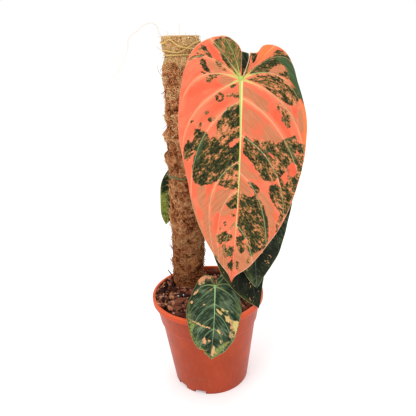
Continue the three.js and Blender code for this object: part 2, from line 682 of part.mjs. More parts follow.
const SECOND_LEAF = leafOf({
  knot: [49, -11, 321.4], yaw: 8, lean: 1.6, length: 194.9, curl: [0.006, 0.006],
  bend: [[-50, 26], [0, 8], [110, 9], [205, 16]],
  sinus: [[-0.5, -14], [0.5, -14]],
  margins: [
    [[-0.8, -27], [-5, -28.5], [-12, -31], [-20, -31], [-29, -25], [-35, -12], [-38, 4], [-38.5, 28],
      [-38, 55], [-37, 82], [-34.5, 108], [-29.5, 132], [-21.5, 157], [-12.3, 176.6], [-6, 187.5],
      [0, 194.9]],
    [[0.8, -22], [8, -26], [18, -25], [28, -19.5], [36, -8], [40.5, 8], [42, 30], [42.5, 55], [42.5, 82],
      [41.3, 108], [36.8, 126.5], [31.8, 144.3], [25.1, 161.1], [16.4, 173.6], [7, 184.8], [0, 194.9]],
  ],
  basal: 4, lateral: 4, ribBow: 0, rib: 1.8,
  quilt: 1.1, wave: 0.8, phase: 2, rowsPerVein: 2, columns: 6, ridgeSteps: 14,
});

const LOW_LEAF = leafOf({
  knot: [25.3, -20, 213.9], yaw: 18, lean: -9.8, length: 116.2, curl: [0.008, 0.012],
  bend: [[-40, 24], [0, 12], [60, 12], [130, 14]],
  sinus: [[-0.4, -7], [0.4, -7]],
  margins: [
    [[-0.8, -13], [-8, -18], [-17, -16], [-24, -7], [-28, 8], [-29.5, 28], [-29.2, 51.2], [-26.6, 70.5],
      [-20, 88.3], [-12.3, 101.4], [-4.6, 110.4], [0, 116.2]],
    [[0.8, -13], [8, -18], [17, -16], [24, -7], [28, 8], [29.5, 28], [28, 50], [22, 72], [14.8, 85.7],
      [9.6, 96.3], [3.6, 109], [0, 116.2]],
  ],
  basal: 3, lateral: 3, ribBow: 0, rib: 1.4,
  quilt: 0.8, wave: 0.4, phase: 1, rowsPerVein: 2, columns: 5, ridgeSteps: 10,
});

const FRONT_LEAF = leafOf({
  knot: [7.9, -31, 125.8], yaw: 0, lean: 7.8, length: 78.4, curl: [0.01, 0.01],
  bend: [[-30, 72], [-16, 66], [0, 60], [33, 58], [50, 8], [62, -2], [100, -4]],
  sinus: [[-0.9, -4.5], [0.9, -4.5]],
  margins: [
    [[-1.5, -8.9], [-7.6, -13.2], [-15.4, -9.6], [-19.4, -1.5], [-23.5, 9.8], [-27.3, 23.3], [-26.7, 35.1],
      [-24, 46.3], [-18.7, 59.4], [-12.6, 67.8], [-7.4, 68.6], [-6.2, 72.1], [-2, 76], [0, 78.4]],
    [[1.5, -8], [7, -13.4], [14, -12], [20.5, -5], [25, 5], [27.2, 16.5], [27.3, 25.4], [24.7, 36.9],
      [22.6, 50.2], [19.4, 59.4], [13, 69.1], [4.2, 75.8], [0, 78.4]],
  ],
  veins: [
    [[0, -6, -10.6, 1], [0, -13.4, 0.8, 4.4], [0, -20.6, 23, 6.7], [19.8, -15.8, 34.2, 7.7],
      [33.6, -13, 45.9, 8.6], [44.9, -8, 53.1, 9.2]],
    [[0, 5.7, -7.5, 1.4], [0, 14.8, -3.5, 4.4], [0, 20.2, 12.7, 6.9], [19.6, 18.4, 34.5, 8.2],
      [29.8, 10.3, 38.3, 8.9], [44.3, 8.3, 53.3, 10.1]],
  ],
  ribBow: 0, rib: 1.3, quilt: 0.9, wave: 0.4, phase: 0, rowsPerVein: 2, columns: 6, ridgeSteps: 14,
});

const REAR_LEAF = leafOf({
  knot: [-24.3, 63, 217], yaw: 0, lean: 20.6, length: 59, curl: [0.008, 0.008],
  bend: [[-30, 20], [0, 10], [80, 10]],
  sinus: [[-0.5, -4.5], [0.5, -4.5]],
  margins: [
    [[-0.9, -8.5], [-6, -12], [-12.5, -8], [-16.6, -1], [-19, 9], [-18.7, 19], [-13.9, 35.3], [-9.3, 47.7],
      [-3.6, 55.5], [0, 59]],
    [[0.9, -8.5], [6, -12], [12.5, -8], [16.6, -1], [18.6, 9], [18.2, 20], [14.5, 32], [8.6, 44], [3, 53.5],
      [0, 59]],
  ],
  basal: 3, lateral: 3, ribBow: 0, rib: 1.2,
  quilt: 0.6, wave: 0.4, phase: 3, rowsPerVein: 2, columns: 4, ridgeSteps: 8,
});

// Stem: climbs from the soil to the side of the pole, with a ring at each node and a pointed tip
const STEM_PATH = [
  [24, 22, 66], [24, 22, 84], [24, 22, 104], [19.5, 22.5, 132], [11.5, 23.4, 162], [6.4, 23.7, 196],
  [5.6, 23.8, 228], [6.6, 23.6, 260], [8.4, 23, 284],
].map(p => new THREE.Vector3(...p));
const stemCurve = new THREE.CatmullRomCurve3(STEM_PATH);
const NODES = { front: 0.2, low: 0.36, rear: 0.52, second: 0.79, main: 0.87 }; // share of the stem's length

function stemRadius(t, grow = 0) {
  let radius = STEM_RADIUS * (1 - 0.22 * t);
  for (const at of Object.values(NODES)) {
    radius += 0.8 * Math.exp(-(((t - at) / 0.014) ** 2));
  }
  return radius * (1 - THREE.MathUtils.smoothstep(t, 0.91, 1) * 0.85) + grow;
}

const stemBody = (grow = 0) => solidOf(tube(stemCurve, t => stemRadius(t, grow), 10, 44));

// Short aerial roots grow from the nodes past the side of the coir.
const ROOT_PLACES = [NODES.rear, 0.62, NODES.second, NODES.main];
const ROOT_RADIUS = 1.3;

function aerialRoot(at) {
  const from = stemCurve.getPointAt(at);
  const axisPoint = POLE_FOOT.clone().addScaledVector(POLE_AXIS, from.z - POLE_FOOT.z);
  const inward = axisPoint.sub(from).setZ(0).normalize();
  const across = new THREE.Vector3(inward.y, -inward.x, 0);
  const down = new THREE.Vector3(0, 0, -1);
  const bend = from.clone().addScaledVector(across, 6).addScaledVector(down, 2);
  const tip = from.clone().addScaledVector(across, 11).addScaledVector(inward, -1).addScaledVector(down, 6);
  return solidOf(tube(new THREE.CatmullRomCurve3([from, bend, tip]), t => ROOT_RADIUS - 0.6 * t, 6, 5));
}

function stem() {
  return geometryOf(ROOT_PLACES.map(aerialRoot).reduce((body, root) => body.add(root), stemBody()));
}

// A petiole leaves its node on the stem and comes up behind the blade's knot.
const PETIOLE_FOOT = 1.35; // thickness at the stem, as a share of the petiole's radius
const PETIOLE_NECK = 0.85; // and beyond its sheath
const SHEATH_SHARE = 0.35;
const STEM_CLEARANCE = GAP + 0.2;

function petiole(leaf, node, via) {
  const place = bladeMatrix(leaf);
  const back = BLADE_THICKNESS / 2 + RIB_DEPTH * leaf.rib;
  const behind = reach => bladePoint(leaf, 0, 0, -back - reach).applyMatrix4(place);
  const from = stemCurve.getPointAt(NODES[node]);
  const points = [from, ...via.map(p => new THREE.Vector3(...p)), behind(4), behind(GAP)];
  const curve = new THREE.CatmullRomCurve3(points, false, 'centripetal');
  const girth = PETIOLE_RADIUS * (leaf.rib / MAIN_LEAF.rib) ** 0.4;
  const radiusAt = t => {
    const taper = THREE.MathUtils.smoothstep(t, 0, SHEATH_SHARE);
    return girth * THREE.MathUtils.lerp(PETIOLE_FOOT, PETIOLE_NECK, taper);
  };
  return geometryOf(solidOf(tube(curve, radiusAt, 7, 15)).subtract(stemBody(STEM_CLEARANCE)));
}

const LEAVES = [
  {
    name: 'main', leaf: MAIN_LEAF, finish: CORAL_BLADE,
    via: [[1, 12, 266], [-1, -8, 282], [9, -22, 303], [26, -25, 322]],
  },
  {
    name: 'second', leaf: SECOND_LEAF, finish: GREEN_BLADE,
    via: [[20, 27, 256], [36, 24, 292], [45, 6, 318]],
  },
  { name: 'low', leaf: LOW_LEAF, finish: GREEN_BLADE, via: [[21, 10, 172], [26, -2, 200]] },
  { name: 'front', leaf: FRONT_LEAF, finish: GREEN_BLADE, via: [[19, 5, 122], [12, -14, 122]] },
  { name: 'rear', leaf: REAR_LEAF, finish: GREEN_BLADE, via: [[18, 40, 200], [6, 62, 220], [-14, 72, 226]] },
];

// Wire: one loop pulled round pole and stem together, a little higher on one side
const WIRE_RISE = 1.2;
const WIRE_HIGH_SIDE = 149; // degrees from +X

function wireLoop() {
  const around = 40;
  const poleCentre = POLE_FOOT.clone().addScaledVector(POLE_AXIS, WIRE_HEIGHT);
  const stemCentre = STEM_PATH[6];
  const points = [];
  for (let j = 0; j < around; j++) {
    const angle = (j / around) * TURN;
    const outward = new THREE.Vector3(Math.cos(angle), Math.sin(angle), 0);
    const [outermost] = [
      { centre: poleCentre, reach: coirRadius(angle, WIRE_HEIGHT) },
      { centre: stemCentre, reach: stemRadius(0.72) },
    ].sort((a, b) => b.centre.dot(outward) + b.reach - a.centre.dot(outward) - a.reach);
    const reach = outermost.reach + WIRE_RADIUS + GAP + TIE_SLACK;
    const rise = WIRE_RISE * Math.cos(angle - THREE.MathUtils.degToRad(WIRE_HIGH_SIDE));
    points.push(outermost.centre.clone().addScaledVector(outward, reach).setZ(poleCentre.z + rise));
  }
  return tube(new THREE.CatmullRomCurve3(points, true), () => WIRE_RADIUS, 5, 44, true);
}

// Assembly
addMesh('pot', pot(), PLASTIC);
group.add(pole);
addMesh('pole_core', cylinder(CORE_RADIUS, CORE_BOTTOM, CORE_TOP, 20), WOOD, pole);
addMesh('coir_sleeve', coirSleeve(), COIR, pole);
addMesh('twine_tie', twine(), TWINE, pole);
addMesh('wire_tie', wireLoop(), WIRE);
addMesh('stem', stem(), STEM);

const COIR_HOLE = POLE_RADIUS + 0.8;
const STEM_HOLE = STEM_RADIUS + 0.5;
const stemFoot = STEM_PATH[0];
const coirHole = cylinder(COIR_HOLE, SLEEVE_BOTTOM - GAP, POT_HEIGHT - POLE_FOOT.z + GAP, 32);
const coreHole = cylinder(CORE_RADIUS + GAP, CORE_BOTTOM - GAP, 0, 20);
const stemHole = cylinder(STEM_HOLE, stemFoot.z - GAP, POT_HEIGHT, 16).translate(stemFoot.x, stemFoot.y, 0);
let soil = soilBody()
  .subtract(solidOf(coirHole, pole.matrixWorld))
  .subtract(solidOf(coreHole, pole.matrixWorld))
  .subtract(solidOf(stemHole));
BARK_CHIPS.forEach((shape, i) => {
  soil = soil.subtract(chip(shape, i + 40, GAP));
  addMesh(shape.name, geometryOf(chip(shape, i + 40)), BARK);
});
for (const shape of STICKS) {
  soil = soil.subtract(stick(shape, GAP));
  addMesh(shape.name, geometryOf(stick(shape)), shape.finish);
}
addMesh('soil', geometryOf(soil), SOIL);

for (const { name, leaf, finish, via } of LEAVES) {
  const mesh = addMesh(`blade_${name}`, blade(leaf), finish);
  bladeMatrix(leaf).decompose(mesh.position, mesh.quaternion, mesh.scale);
  addMesh(`petiole_${name}`, petiole(leaf, name, via), PETIOLE);
}

// The origin lies under the middle of the whole plant, on the surface that the pot stands on.
const middle = new THREE.Box3().setFromObject(group, true).getCenter(new THREE.Vector3());
group.position.set(-middle.x, -middle.y, 0);

export default group;
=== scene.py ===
"""A potted variegated climbing philodendron on a coir pole, dressed around its solids.

Lengths in this script are millimetres from the pot's axis at the ground, and in_frame() turns them into
the frame's metres. Marks on the leaves are placed by pixels of the 416 x 416 photograph.
"""
import math

import bmesh
import bpy
import numpy as np
from mathutils import Matrix, Vector


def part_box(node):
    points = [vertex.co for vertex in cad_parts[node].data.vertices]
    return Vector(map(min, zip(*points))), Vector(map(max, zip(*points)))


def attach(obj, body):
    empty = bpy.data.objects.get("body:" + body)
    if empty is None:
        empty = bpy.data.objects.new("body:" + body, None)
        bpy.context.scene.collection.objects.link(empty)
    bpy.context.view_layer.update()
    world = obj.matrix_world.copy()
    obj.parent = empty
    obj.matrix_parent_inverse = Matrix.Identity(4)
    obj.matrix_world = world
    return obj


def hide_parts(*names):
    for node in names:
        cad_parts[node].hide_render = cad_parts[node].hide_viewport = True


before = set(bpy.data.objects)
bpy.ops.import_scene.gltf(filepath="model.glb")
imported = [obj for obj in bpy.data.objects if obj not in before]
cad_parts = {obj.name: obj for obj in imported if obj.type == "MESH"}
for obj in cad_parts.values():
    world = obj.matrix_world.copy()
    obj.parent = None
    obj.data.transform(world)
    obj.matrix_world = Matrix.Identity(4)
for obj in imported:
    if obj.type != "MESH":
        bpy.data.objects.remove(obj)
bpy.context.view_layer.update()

MM = 0.001
TURN = 2 * math.pi
POT_LOW, POT_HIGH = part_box("pot")
POT_AXIS = np.array([(POT_LOW.x + POT_HIGH.x) / 2, (POT_LOW.y + POT_HIGH.y) / 2, POT_LOW.z])


def in_frame(points):
    return np.asarray(points, float) * MM + POT_AXIS


# Photograph's camera
PHOTO_SIZE = 416
PHOTO_CENTRE = PHOTO_SIZE / 2
FOCAL_PIXELS = 465.0
CAMERA_PLACE = np.array([4.6, -447.0, 360.0])
CAMERA_PITCH = math.radians(19.75)  # below the horizon
CAMERA_ROLL = math.radians(-2.76)
SENSOR = 36.0


def camera_axes():
    ahead = np.array([0.0, math.cos(CAMERA_PITCH), -math.sin(CAMERA_PITCH)])
    level = np.array([1.0, 0.0, 0.0])
    upright = np.cross(level, ahead)
    right = level * math.cos(CAMERA_ROLL) + upright * math.sin(CAMERA_ROLL)
    up = upright * math.cos(CAMERA_ROLL) - level * math.sin(CAMERA_ROLL)
    return right, up, ahead


def to_pixels(points):
    right, up, ahead = camera_axes()
    away = np.asarray(points, float) - CAMERA_PLACE
    depth = away @ ahead
    x = PHOTO_CENTRE + FOCAL_PIXELS * (away @ right) / depth
    y = PHOTO_CENTRE - FOCAL_PIXELS * (away @ up) / depth
    return np.stack([x, y], -1)


def from_pixel(x, y, axis, level):
    """The point seen at a pixel, on the plane that stands across an axis (0, 1 or 2) at a level."""
    right, up, ahead = camera_axes()
    way = ahead + (x - PHOTO_CENTRE) / FOCAL_PIXELS * right - (y - PHOTO_CENTRE) / FOCAL_PIXELS * up
    return CAMERA_PLACE + way * (level - CAMERA_PLACE[axis]) / way[axis]


def new_object(name, data):
    made = bpy.data.objects.new(name, data)
    bpy.context.scene.collection.objects.link(made)
    return made


def make_camera():
    right, up, ahead = camera_axes()
    data = bpy.data.cameras.new("photo_camera")
    data.sensor_width = SENSOR
    data.lens = SENSOR * FOCAL_PIXELS / PHOTO_SIZE
    data.clip_start = 0.01
    data.clip_end = 100
    camera = new_object("photo_camera", data)
    turn = Matrix((right, up, -ahead)).transposed().to_4x4()
    camera.matrix_world = Matrix.Translation(Vector(in_frame(CAMERA_PLACE))) @ turn
    bpy.context.scene.camera = camera


# Repeatable unevenness, the same as in the solids
def scatter(i, j, seed):
    s = np.sin(i * 127.1 + j * 311.7 + seed * 74.7) * 43758.5453
    return s - np.floor(s)


def round_turn(count):
    """Angles evenly round a full turn."""
    return np.arange(count) / count * TURN


def ease(t):
    return t * t * (3 - 2 * t)


def smoothstep(x, low, high):
    return ease(np.clip((x - low) / (high - low), 0, 1))


def bell(away, width):
    return np.exp(-((away / width) ** 2))


def unevenness(x, y, seed, cells=0):
    """Value noise between -1 and 1; with cells it comes back to its start after that many in x."""
    i, j = np.floor(x), np.floor(y)
    u, v = ease(x - i), ease(y - j)
    wrap = (lambda a: np.mod(a, cells)) if cells else (lambda a: a)
    low = scatter(wrap(i), j, seed) * (1 - u) + scatter(wrap(i + 1), j, seed) * u
    high = scatter(wrap(i), j + 1, seed) * (1 - u) + scatter(wrap(i + 1), j + 1, seed) * u
    return (low * (1 - v) + high * v) * 2 - 1


# Meshes
def add_piece(name, points, faces, material, replaces=(), numbers=None, vectors=None, merge=0.0):
    mesh = bpy.data.meshes.new(name)
    mesh.from_pydata(in_frame(points).tolist(), [], [list(map(int, face)) for face in faces])
    for key, values in (numbers or {}).items():
        mesh.attributes.new(key, "FLOAT", "POINT").data.foreach_set("value", np.asarray(values, np.float32))
    for key, values in (vectors or {}).items():
        layer = mesh.attributes.new(key, "FLOAT_VECTOR", "POINT")
        layer.data.foreach_set("vector", np.asarray(values, np.float32).ravel())
    if merge:
        work = bmesh.new()
        work.from_mesh(mesh)
        bmesh.ops.remove_doubles(work, verts=work.verts, dist=merge * MM)
        work.to_mesh(mesh)
        work.free()
    mesh.validate()
    mesh.shade_smooth()
    mesh.materials.append(material)
    piece = new_object(name, mesh)
    if replaces:
        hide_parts(*replaces)
    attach(piece, "root")
    return piece


class Pile:
    """Several closed bodies gathered into one mesh."""

    def __init__(self):
        self.points, self.faces, self.numbers, self.count = [], [], {}, 0

    def add(self, points, faces, **numbers):
        points = np.asarray(points, float)
        self.points.append(points)
        self.faces.extend([[i + self.count for i in face] for face in faces])
        for key, value in numbers.items():
            self.numbers.setdefault(key, []).append(np.broadcast_to(value, len(points)))
        self.count += len(points)

    def piece(self, name, material, slot, replaces=()):
        numbers = {key: np.concatenate(values) for key, values in self.numbers.items()}
        return add_piece(name, np.concatenate(self.points), self.faces, material, replaces, numbers)


def grid_faces(rows, columns, closed=False):
    """Quads between rows of points; closed joins each row's end to its start."""
    faces = []
    last = columns if closed else columns - 1
    for i in range(rows - 1):
        for j in range(last):
            side = (j + 1) % columns
            a, b = i * columns + j, i * columns + side
            faces.append([a, b, b + columns, a + columns])
    return faces


def tube_faces(rings, sides):
    """Faces of a closed tube whose points come ring by ring."""
    ends = [list(range(sides))[::-1], list(range((rings - 1) * sides, rings * sides))]
    return grid_faces(rings, sides, closed=True) + ends


def turn_x(angle):
    """A matrix for points @ matrix that turns them about X."""
    c, s = math.cos(angle), math.sin(angle)
    return np.array([[1, 0, 0], [0, c, s], [0, -s, c]])


def turn_z(angle):
    """A matrix for points @ matrix that turns them about Z."""
    c, s = math.cos(angle), math.sin(angle)
    return np.array([[c, s, 0], [-s, c, 0], [0, 0, 1]])


def walked_along(path):
    """The length of a path up to each of its points."""
    return np.concatenate([[0], np.cumsum(np.linalg.norm(np.diff(path, axis=0), axis=1))])


def frames_along(path):
    """Tangent, normal and binormal at each point, turning as little as they can."""
    path = np.asarray(path, float)
    tangents = np.gradient(path, axis=0)
    tangents /= np.linalg.norm(tangents, axis=1)[:, None]
    start = np.eye(3)[np.argmin(np.abs(tangents[0]))]
    normals = []
    normal = np.cross(tangents[0], start)
    for tangent in tangents:
        normal = normal - tangent * (normal @ tangent)
        normal = normal / np.linalg.norm(normal)
        normals.append(normal)
    normals = np.array(normals)
    return tangents, normals, np.cross(tangents, normals)


def tube(path, radii, sides):
    """A closed tube; radii holds one radius a ring, or one a ring and side."""
    path = np.asarray(path, float)
    _, normals, binormals = frames_along(path)
    angles = round_turn(sides)
    radii = np.broadcast_to(np.reshape(radii, (len(path), -1)), (len(path), sides))[..., None]
    cosines, sines = np.cos(angles)[:, None], np.sin(angles)[:, None]
    rings = path[:, None] + radii * (normals[:, None] * cosines + binormals[:, None] * sines)
    return rings.reshape(-1, 3), tube_faces(len(path), sides)


def spline(points, count, closed=False):
    """A centripetal Catmull-Rom curve through the points, evenly spaced."""
    points = np.asarray(points, float)
    total = len(points)
    spans = total if closed else total - 1
    fine = []
    for i in range(spans):
        if closed:
            p0, p1, p2, p3 = (points[(i + n) % total] for n in (-1, 0, 1, 2))
        else:
            p1, p2 = points[i], points[i + 1]
            p0 = points[i - 1] if i else 2 * p1 - p2
            p3 = points[i + 2] if i + 2 < total else 2 * p2 - p1
        t0, t1, t2 = (max(np.linalg.norm(b - a) ** 0.5, 1e-4) for a, b in ((p0, p1), (p1, p2), (p2, p3)))
        m1 = ((p1 - p0) / t0 - (p2 - p0) / (t0 + t1) + (p2 - p1) / t1) * t1
        m2 = ((p2 - p1) / t1 - (p3 - p1) / (t1 + t2) + (p3 - p2) / t2) * t1
        for t in np.arange(24) / 24:
            fine.append((2 * t**3 - 3 * t**2 + 1) * p1 + (t**3 - 2 * t**2 + t) * m1
                        + (3 * t**2 - 2 * t**3) * p2 + (t**3 - t**2) * m2)
    fine.append(points[0] if closed else points[-1])
    fine = np.array(fine)
    walked = walked_along(fine)
    at = np.linspace(0, walked[-1], count)
    return np.stack([np.interp(at, walked, fine[:, n]) for n in range(3)], -1)


# Materials
LIGHT_SHARE = 0.82  # of a colour of the photograph, which the scene's light makes up for


def colour(red, green, blue):
    """A colour as it shows in the photograph, as the linear colour that a shader takes."""
    channels = [c / 255 for c in (red, green, blue)]
    linear = [c / 12.92 if c <= 0.04045 else ((c + 0.055) / 1.055) ** 2.4 for c in channels]
    return (*(LIGHT_SHARE * c for c in linear), 1.0)


class Finish:
    """A node material with short names for the nodes it uses."""

    def __init__(self, name, **constants):
        self.material = bpy.data.materials.new(name)
        self.material.use_nodes = True
        self.tree = self.material.node_tree
        self.shader = self.tree.nodes["Principled BSDF"]
        for key, value in constants.items():
            self.shader.inputs[key.replace("_", " ").title().replace("Ior", "IOR")].default_value = value

    def add(self, kind, inputs=(), output=0, **settings):
        node = self.tree.nodes.new(kind)
        for key, value in settings.items():
            setattr(node, key, value)
        for key, value in dict(inputs).items():
            if isinstance(value, bpy.types.NodeSocket):
                self.tree.links.new(value, node.inputs[key])
            else:
                node.inputs[key].default_value = value
        return node.outputs[output]

    def number(self, name):
        return self.add("ShaderNodeAttribute", attribute_name=name, output=2)

    def vector(self, name):
        return self.add("ShaderNodeAttribute", attribute_name=name, output=1)

    def place(self):
        """Object coordinates in millimetres."""
        raw = self.add("ShaderNodeTexCoord", output=3)
        return self.add("ShaderNodeVectorMath", {0: raw, "Scale": 1 / MM}, operation="SCALE")

    def stretch(self, vector, x, y, z):
        return self.add("ShaderNodeVectorMath", {0: vector, 1: (x, y, z)}, operation="MULTIPLY")

    def noise(self, vector, size, detail, roughness=0.55):
        inputs = {"Vector": vector, "Scale": 1 / size, "Detail": detail, "Roughness": roughness}
        return self.add("ShaderNodeTexNoise", inputs)

    def cells(self, vector, size):
        return self.add("ShaderNodeTexVoronoi", {"Vector": vector, "Scale": 1 / size})

    def math(self, operation, a, b, clamp=False):
        return self.add("ShaderNodeMath", {0: a, 1: b}, operation=operation, use_clamp=clamp)

    def plus(self, a, b, clamp=False):
        return self.math("ADD", a, b, clamp)

    def times(self, a, b, clamp=False):
        return self.math("MULTIPLY", a, b, clamp)

    def step(self, value, low, high):
        """0 below low, 1 above high, smooth between."""
        inputs = {"Value": value, "From Min": low, "From Max": high}
        return self.add("ShaderNodeMapRange", inputs, interpolation_type="SMOOTHSTEP")

    def scaled(self, value, low, high):
        """A value of 0 to 1 spread over low to high."""
        return self.add("ShaderNodeMapRange", {"Value": value, "To Min": low, "To Max": high})

    def mix(self, share, a, b, blend="MIX"):
        """Mixes sockets, colours of the photograph (three numbers) or linear ones (four)."""
        a, b = (colour(*c) if isinstance(c, tuple) and len(c) == 3 else c for c in (a, b))
        inputs = {0: share, 6: a, 7: b}
        return self.add("ShaderNodeMix", inputs, output=2, data_type="RGBA", blend_type=blend)

    def ramp(self, value, *stops):
        node = self.tree.nodes.new("ShaderNodeValToRGB")
        self.tree.links.new(value, node.inputs[0])
        band = node.color_ramp.elements
        while len(band) < len(stops):
            band.new(0.5)
        for element, (place, shade) in zip(band, stops):
            element.position = place
            element.color = colour(*shade)
        return node.outputs[0]

    def bump(self, height, strength, distance):
        """Adds to the bumps already on the shader; distance is in millimetres."""
        inputs = {"Strength": strength, "Distance": distance * MM, "Height": height}
        links = self.shader.inputs["Normal"].links
        if links:
            inputs["Normal"] = links[0].from_socket
        self.tree.links.new(self.add("ShaderNodeBump", inputs), self.shader.inputs["Normal"])

    def feed(self, key, socket):
        self.tree.links.new(socket, self.shader.inputs[key])

    def done(self, base, roughness=None):
        self.feed("Base Color", base)
        if roughness is not None:
            self.feed("Roughness", roughness)
        return self.material


def grain_finish(name, stretch, grain, bump, stops, shares=None, **constants):
    """One noise for colour and relief; shares weigh the piece's own tone and the noise in the colour."""
    f = Finish(name, **constants)
    noise = f.noise(f.stretch(f.place(), *stretch), *grain)
    f.bump(noise, *bump)
    tone = f.plus(f.times(f.number("tone"), shares[0]), f.times(noise, shares[1])) if shares else noise
    return f.done(f.ramp(tone, *stops))


def crumb_finish():
    stops = ((0.10, (22, 13, 12)), (0.26, (62, 35, 29)), (0.46, (134, 76, 58)), (0.70, (182, 112, 82)),
             (0.90, (226, 172, 128)))
    return grain_finish("bark_crumbs", (1, 1, 1), (1.6, 4, 0.7), (0.6, 0.5), stops, (0.75, 0.3),
                        roughness=0.85, specular_ior_level=0.1)


def bark_finish():
    stops = ((0.25, (34, 18, 16)), (0.5, (84, 44, 36)), (0.72, (132, 74, 54)), (0.95, (170, 110, 80)))
    return grain_finish("bark_chips", (0.5, 0.8, 2.6), (2.2, 4, 0.6), (0.8, 0.9), stops, (0.55, 0.6),
                        roughness=0.82, specular_ior_level=0.12)


def wood_finish():
    stops = ((0.3, (140, 80, 44)), (0.5, (208, 130, 74)), (0.75, (236, 168, 106)))
    return grain_finish("pale_wood", (1.6, 0.4, 1.6), (1.4, 4, 0.6), (0.6, 0.4), stops,
                        roughness=0.75, specular_ior_level=0.1)


def twine_finish():
    stops = ((0.25, (178, 128, 62)), (0.45, (236, 194, 112)), (0.7, (255, 232, 166)))
    return grain_finish("twine_fibre", (1, 1, 1), (0.7, 3, 0.7), (0.5, 0.25), stops,
                        roughness=0.85, specular_ior_level=0.08)


# Pot
POT_HEIGHT = 104.0
RIM_RADIUS = 60.0
LIP_BOTTOM = POT_HEIGHT - 6.4
STEP_HEIGHT = POT_HEIGHT - 28.5
BASE_RADIUS = 41.0
FOOT_HEIGHT = 4.2
FOOT_WIDTH = 4.0
FLOOR = FOOT_HEIGHT + 2.0
WALL = 1.9
COLLAR_TOP_RADIUS = RIM_RADIUS - 3.4
COLLAR_LOW_RADIUS = 52.8
WALL_TOP_RADIUS = 51.2
NOTCH_WIDTH = 12.5
NOTCH_ANGLES = (-19, -52, 161, 128)  # degrees from the front, towards +X
DRAIN_HOLES = 6
DRAIN_RADIUS = 4.0
DRAIN_CIRCLE = 24.0
CORNER_REACH = 0.8  # how far from a corner of the profile its rounding starts
CORNER_STEPS = 4
POT_SEGMENTS = 192


def rounded(corners):
    """An open profile with its sharp corners turned into short curves."""
    out = [np.array(corners[0], float)]
    for before, corner, after in zip(corners, corners[1:], corners[2:]):
        before, corner, after = (np.array(p, float) for p in (before, corner, after))
        back, ahead = before - corner, after - corner
        for side in (back, ahead):
            side *= min(CORNER_REACH, 0.45 * np.linalg.norm(side)) / np.linalg.norm(side)
        for t in np.linspace(0, 1, CORNER_STEPS):
            out.append(corner + back * (1 - t) ** 2 + ahead * t**2)
    out.append(np.array(corners[-1], float))
    return np.array(out)


def lathe(profile, segments):
    """A closed body of revolution whose profile starts and ends on the axis."""
    angles = round_turn(segments)
    inner = profile[1:-1]
    radius, height = inner[:, 0, None], inner[:, 1, None]
    rings = [radius * np.cos(angles), radius * np.sin(angles), np.repeat(height, segments, 1)]
    points = np.stack(rings, -1).reshape(-1, 3)
    faces = grid_faces(len(inner), segments, closed=True)
    ends = [[0, 0, profile[0][1]], [0, 0, profile[-1][1]]]
    low, high = len(points), len(points) + 1
    top = (len(inner) - 1) * segments
    for j in range(segments):
        side = (j + 1) % segments
        faces.append([low, side, j])
        faces.append([high, top + j, top + side])
    return np.concatenate([points, ends]), faces


def cut(piece, points, faces):
    """Cuts a closed body out of a piece's mesh."""
    mesh = bpy.data.meshes.new("cutter")
    mesh.from_pydata(in_frame(points).tolist(), [], faces)
    cutter = new_object("cutter", mesh)
    modifier = piece.modifiers.new("cut", "BOOLEAN")
    modifier.object = cutter
    modifier.operation = "DIFFERENCE"
    modifier.solver = "EXACT"
    evaluated = piece.evaluated_get(bpy.context.evaluated_depsgraph_get())
    piece.data = bpy.data.meshes.new_from_object(evaluated)
    piece.modifiers.clear()
    bpy.data.objects.remove(cutter)


def pot_finish():
    f = Finish("moulded_plastic", specular_ior_level=0.13)
    place = f.place()
    height = f.add("ShaderNodeSeparateXYZ", {0: place}, output=2)
    cloud = f.noise(place, 26, 4)
    fine = f.noise(place, 3.2, 5, 0.7)
    flow = f.noise(f.stretch(place, 1, 1, 0.12), 2.4, 3)
    base = f.mix(f.step(cloud, 0.35, 0.65), (187, 72, 35), (172, 65, 34))
    base = f.mix(f.times(f.step(height, 40, 4), 0.3), base, (160, 64, 46))
    # Painted light: the rim's outer band is painted lighter than the wall, and its top edge lighter still,
    # as where light falls on them.
    lip_painted_light = f.step(height, LIP_BOTTOM - 1, LIP_BOTTOM + 2)
    base = f.mix(lip_painted_light, base, (216, 82, 42))
    crown_painted_light = f.step(height, POT_HEIGHT - 1.4, POT_HEIGHT - 0.2)
    base = f.mix(crown_painted_light, base, (240, 102, 56))
    streaks = f.times(f.step(flow, 0.5, 0.75), 0.2)
    base = f.mix(streaks, base, (204, 98, 68))
    dust = f.times(f.step(f.noise(place, 9, 6, 0.75), 0.54, 0.72), 0.35)
    low_dust = f.times(dust, f.scaled(f.step(height, 62, 4), 0.2, 1.0))
    base = f.mix(low_dust, base, (164, 110, 92))
    scuffs = f.step(f.noise(f.stretch(place, 0.35, 0.35, 2.2), 1.6, 2), 0.70, 0.74)
    base = f.mix(f.times(scuffs, 0.4), base, (226, 140, 108))
    dirt = f.times(f.step(f.noise(place, 2.6, 4, 0.7), 0.56, 0.64), f.step(height, 7, 1))
    base = f.mix(dirt, base, (92, 44, 32))
    f.bump(fine, 0.12, 0.25)
    f.bump(scuffs, 0.2, 0.1)
    return f.done(base, f.scaled(f.plus(dust, f.times(fine, 0.25)), 0.36, 0.62))


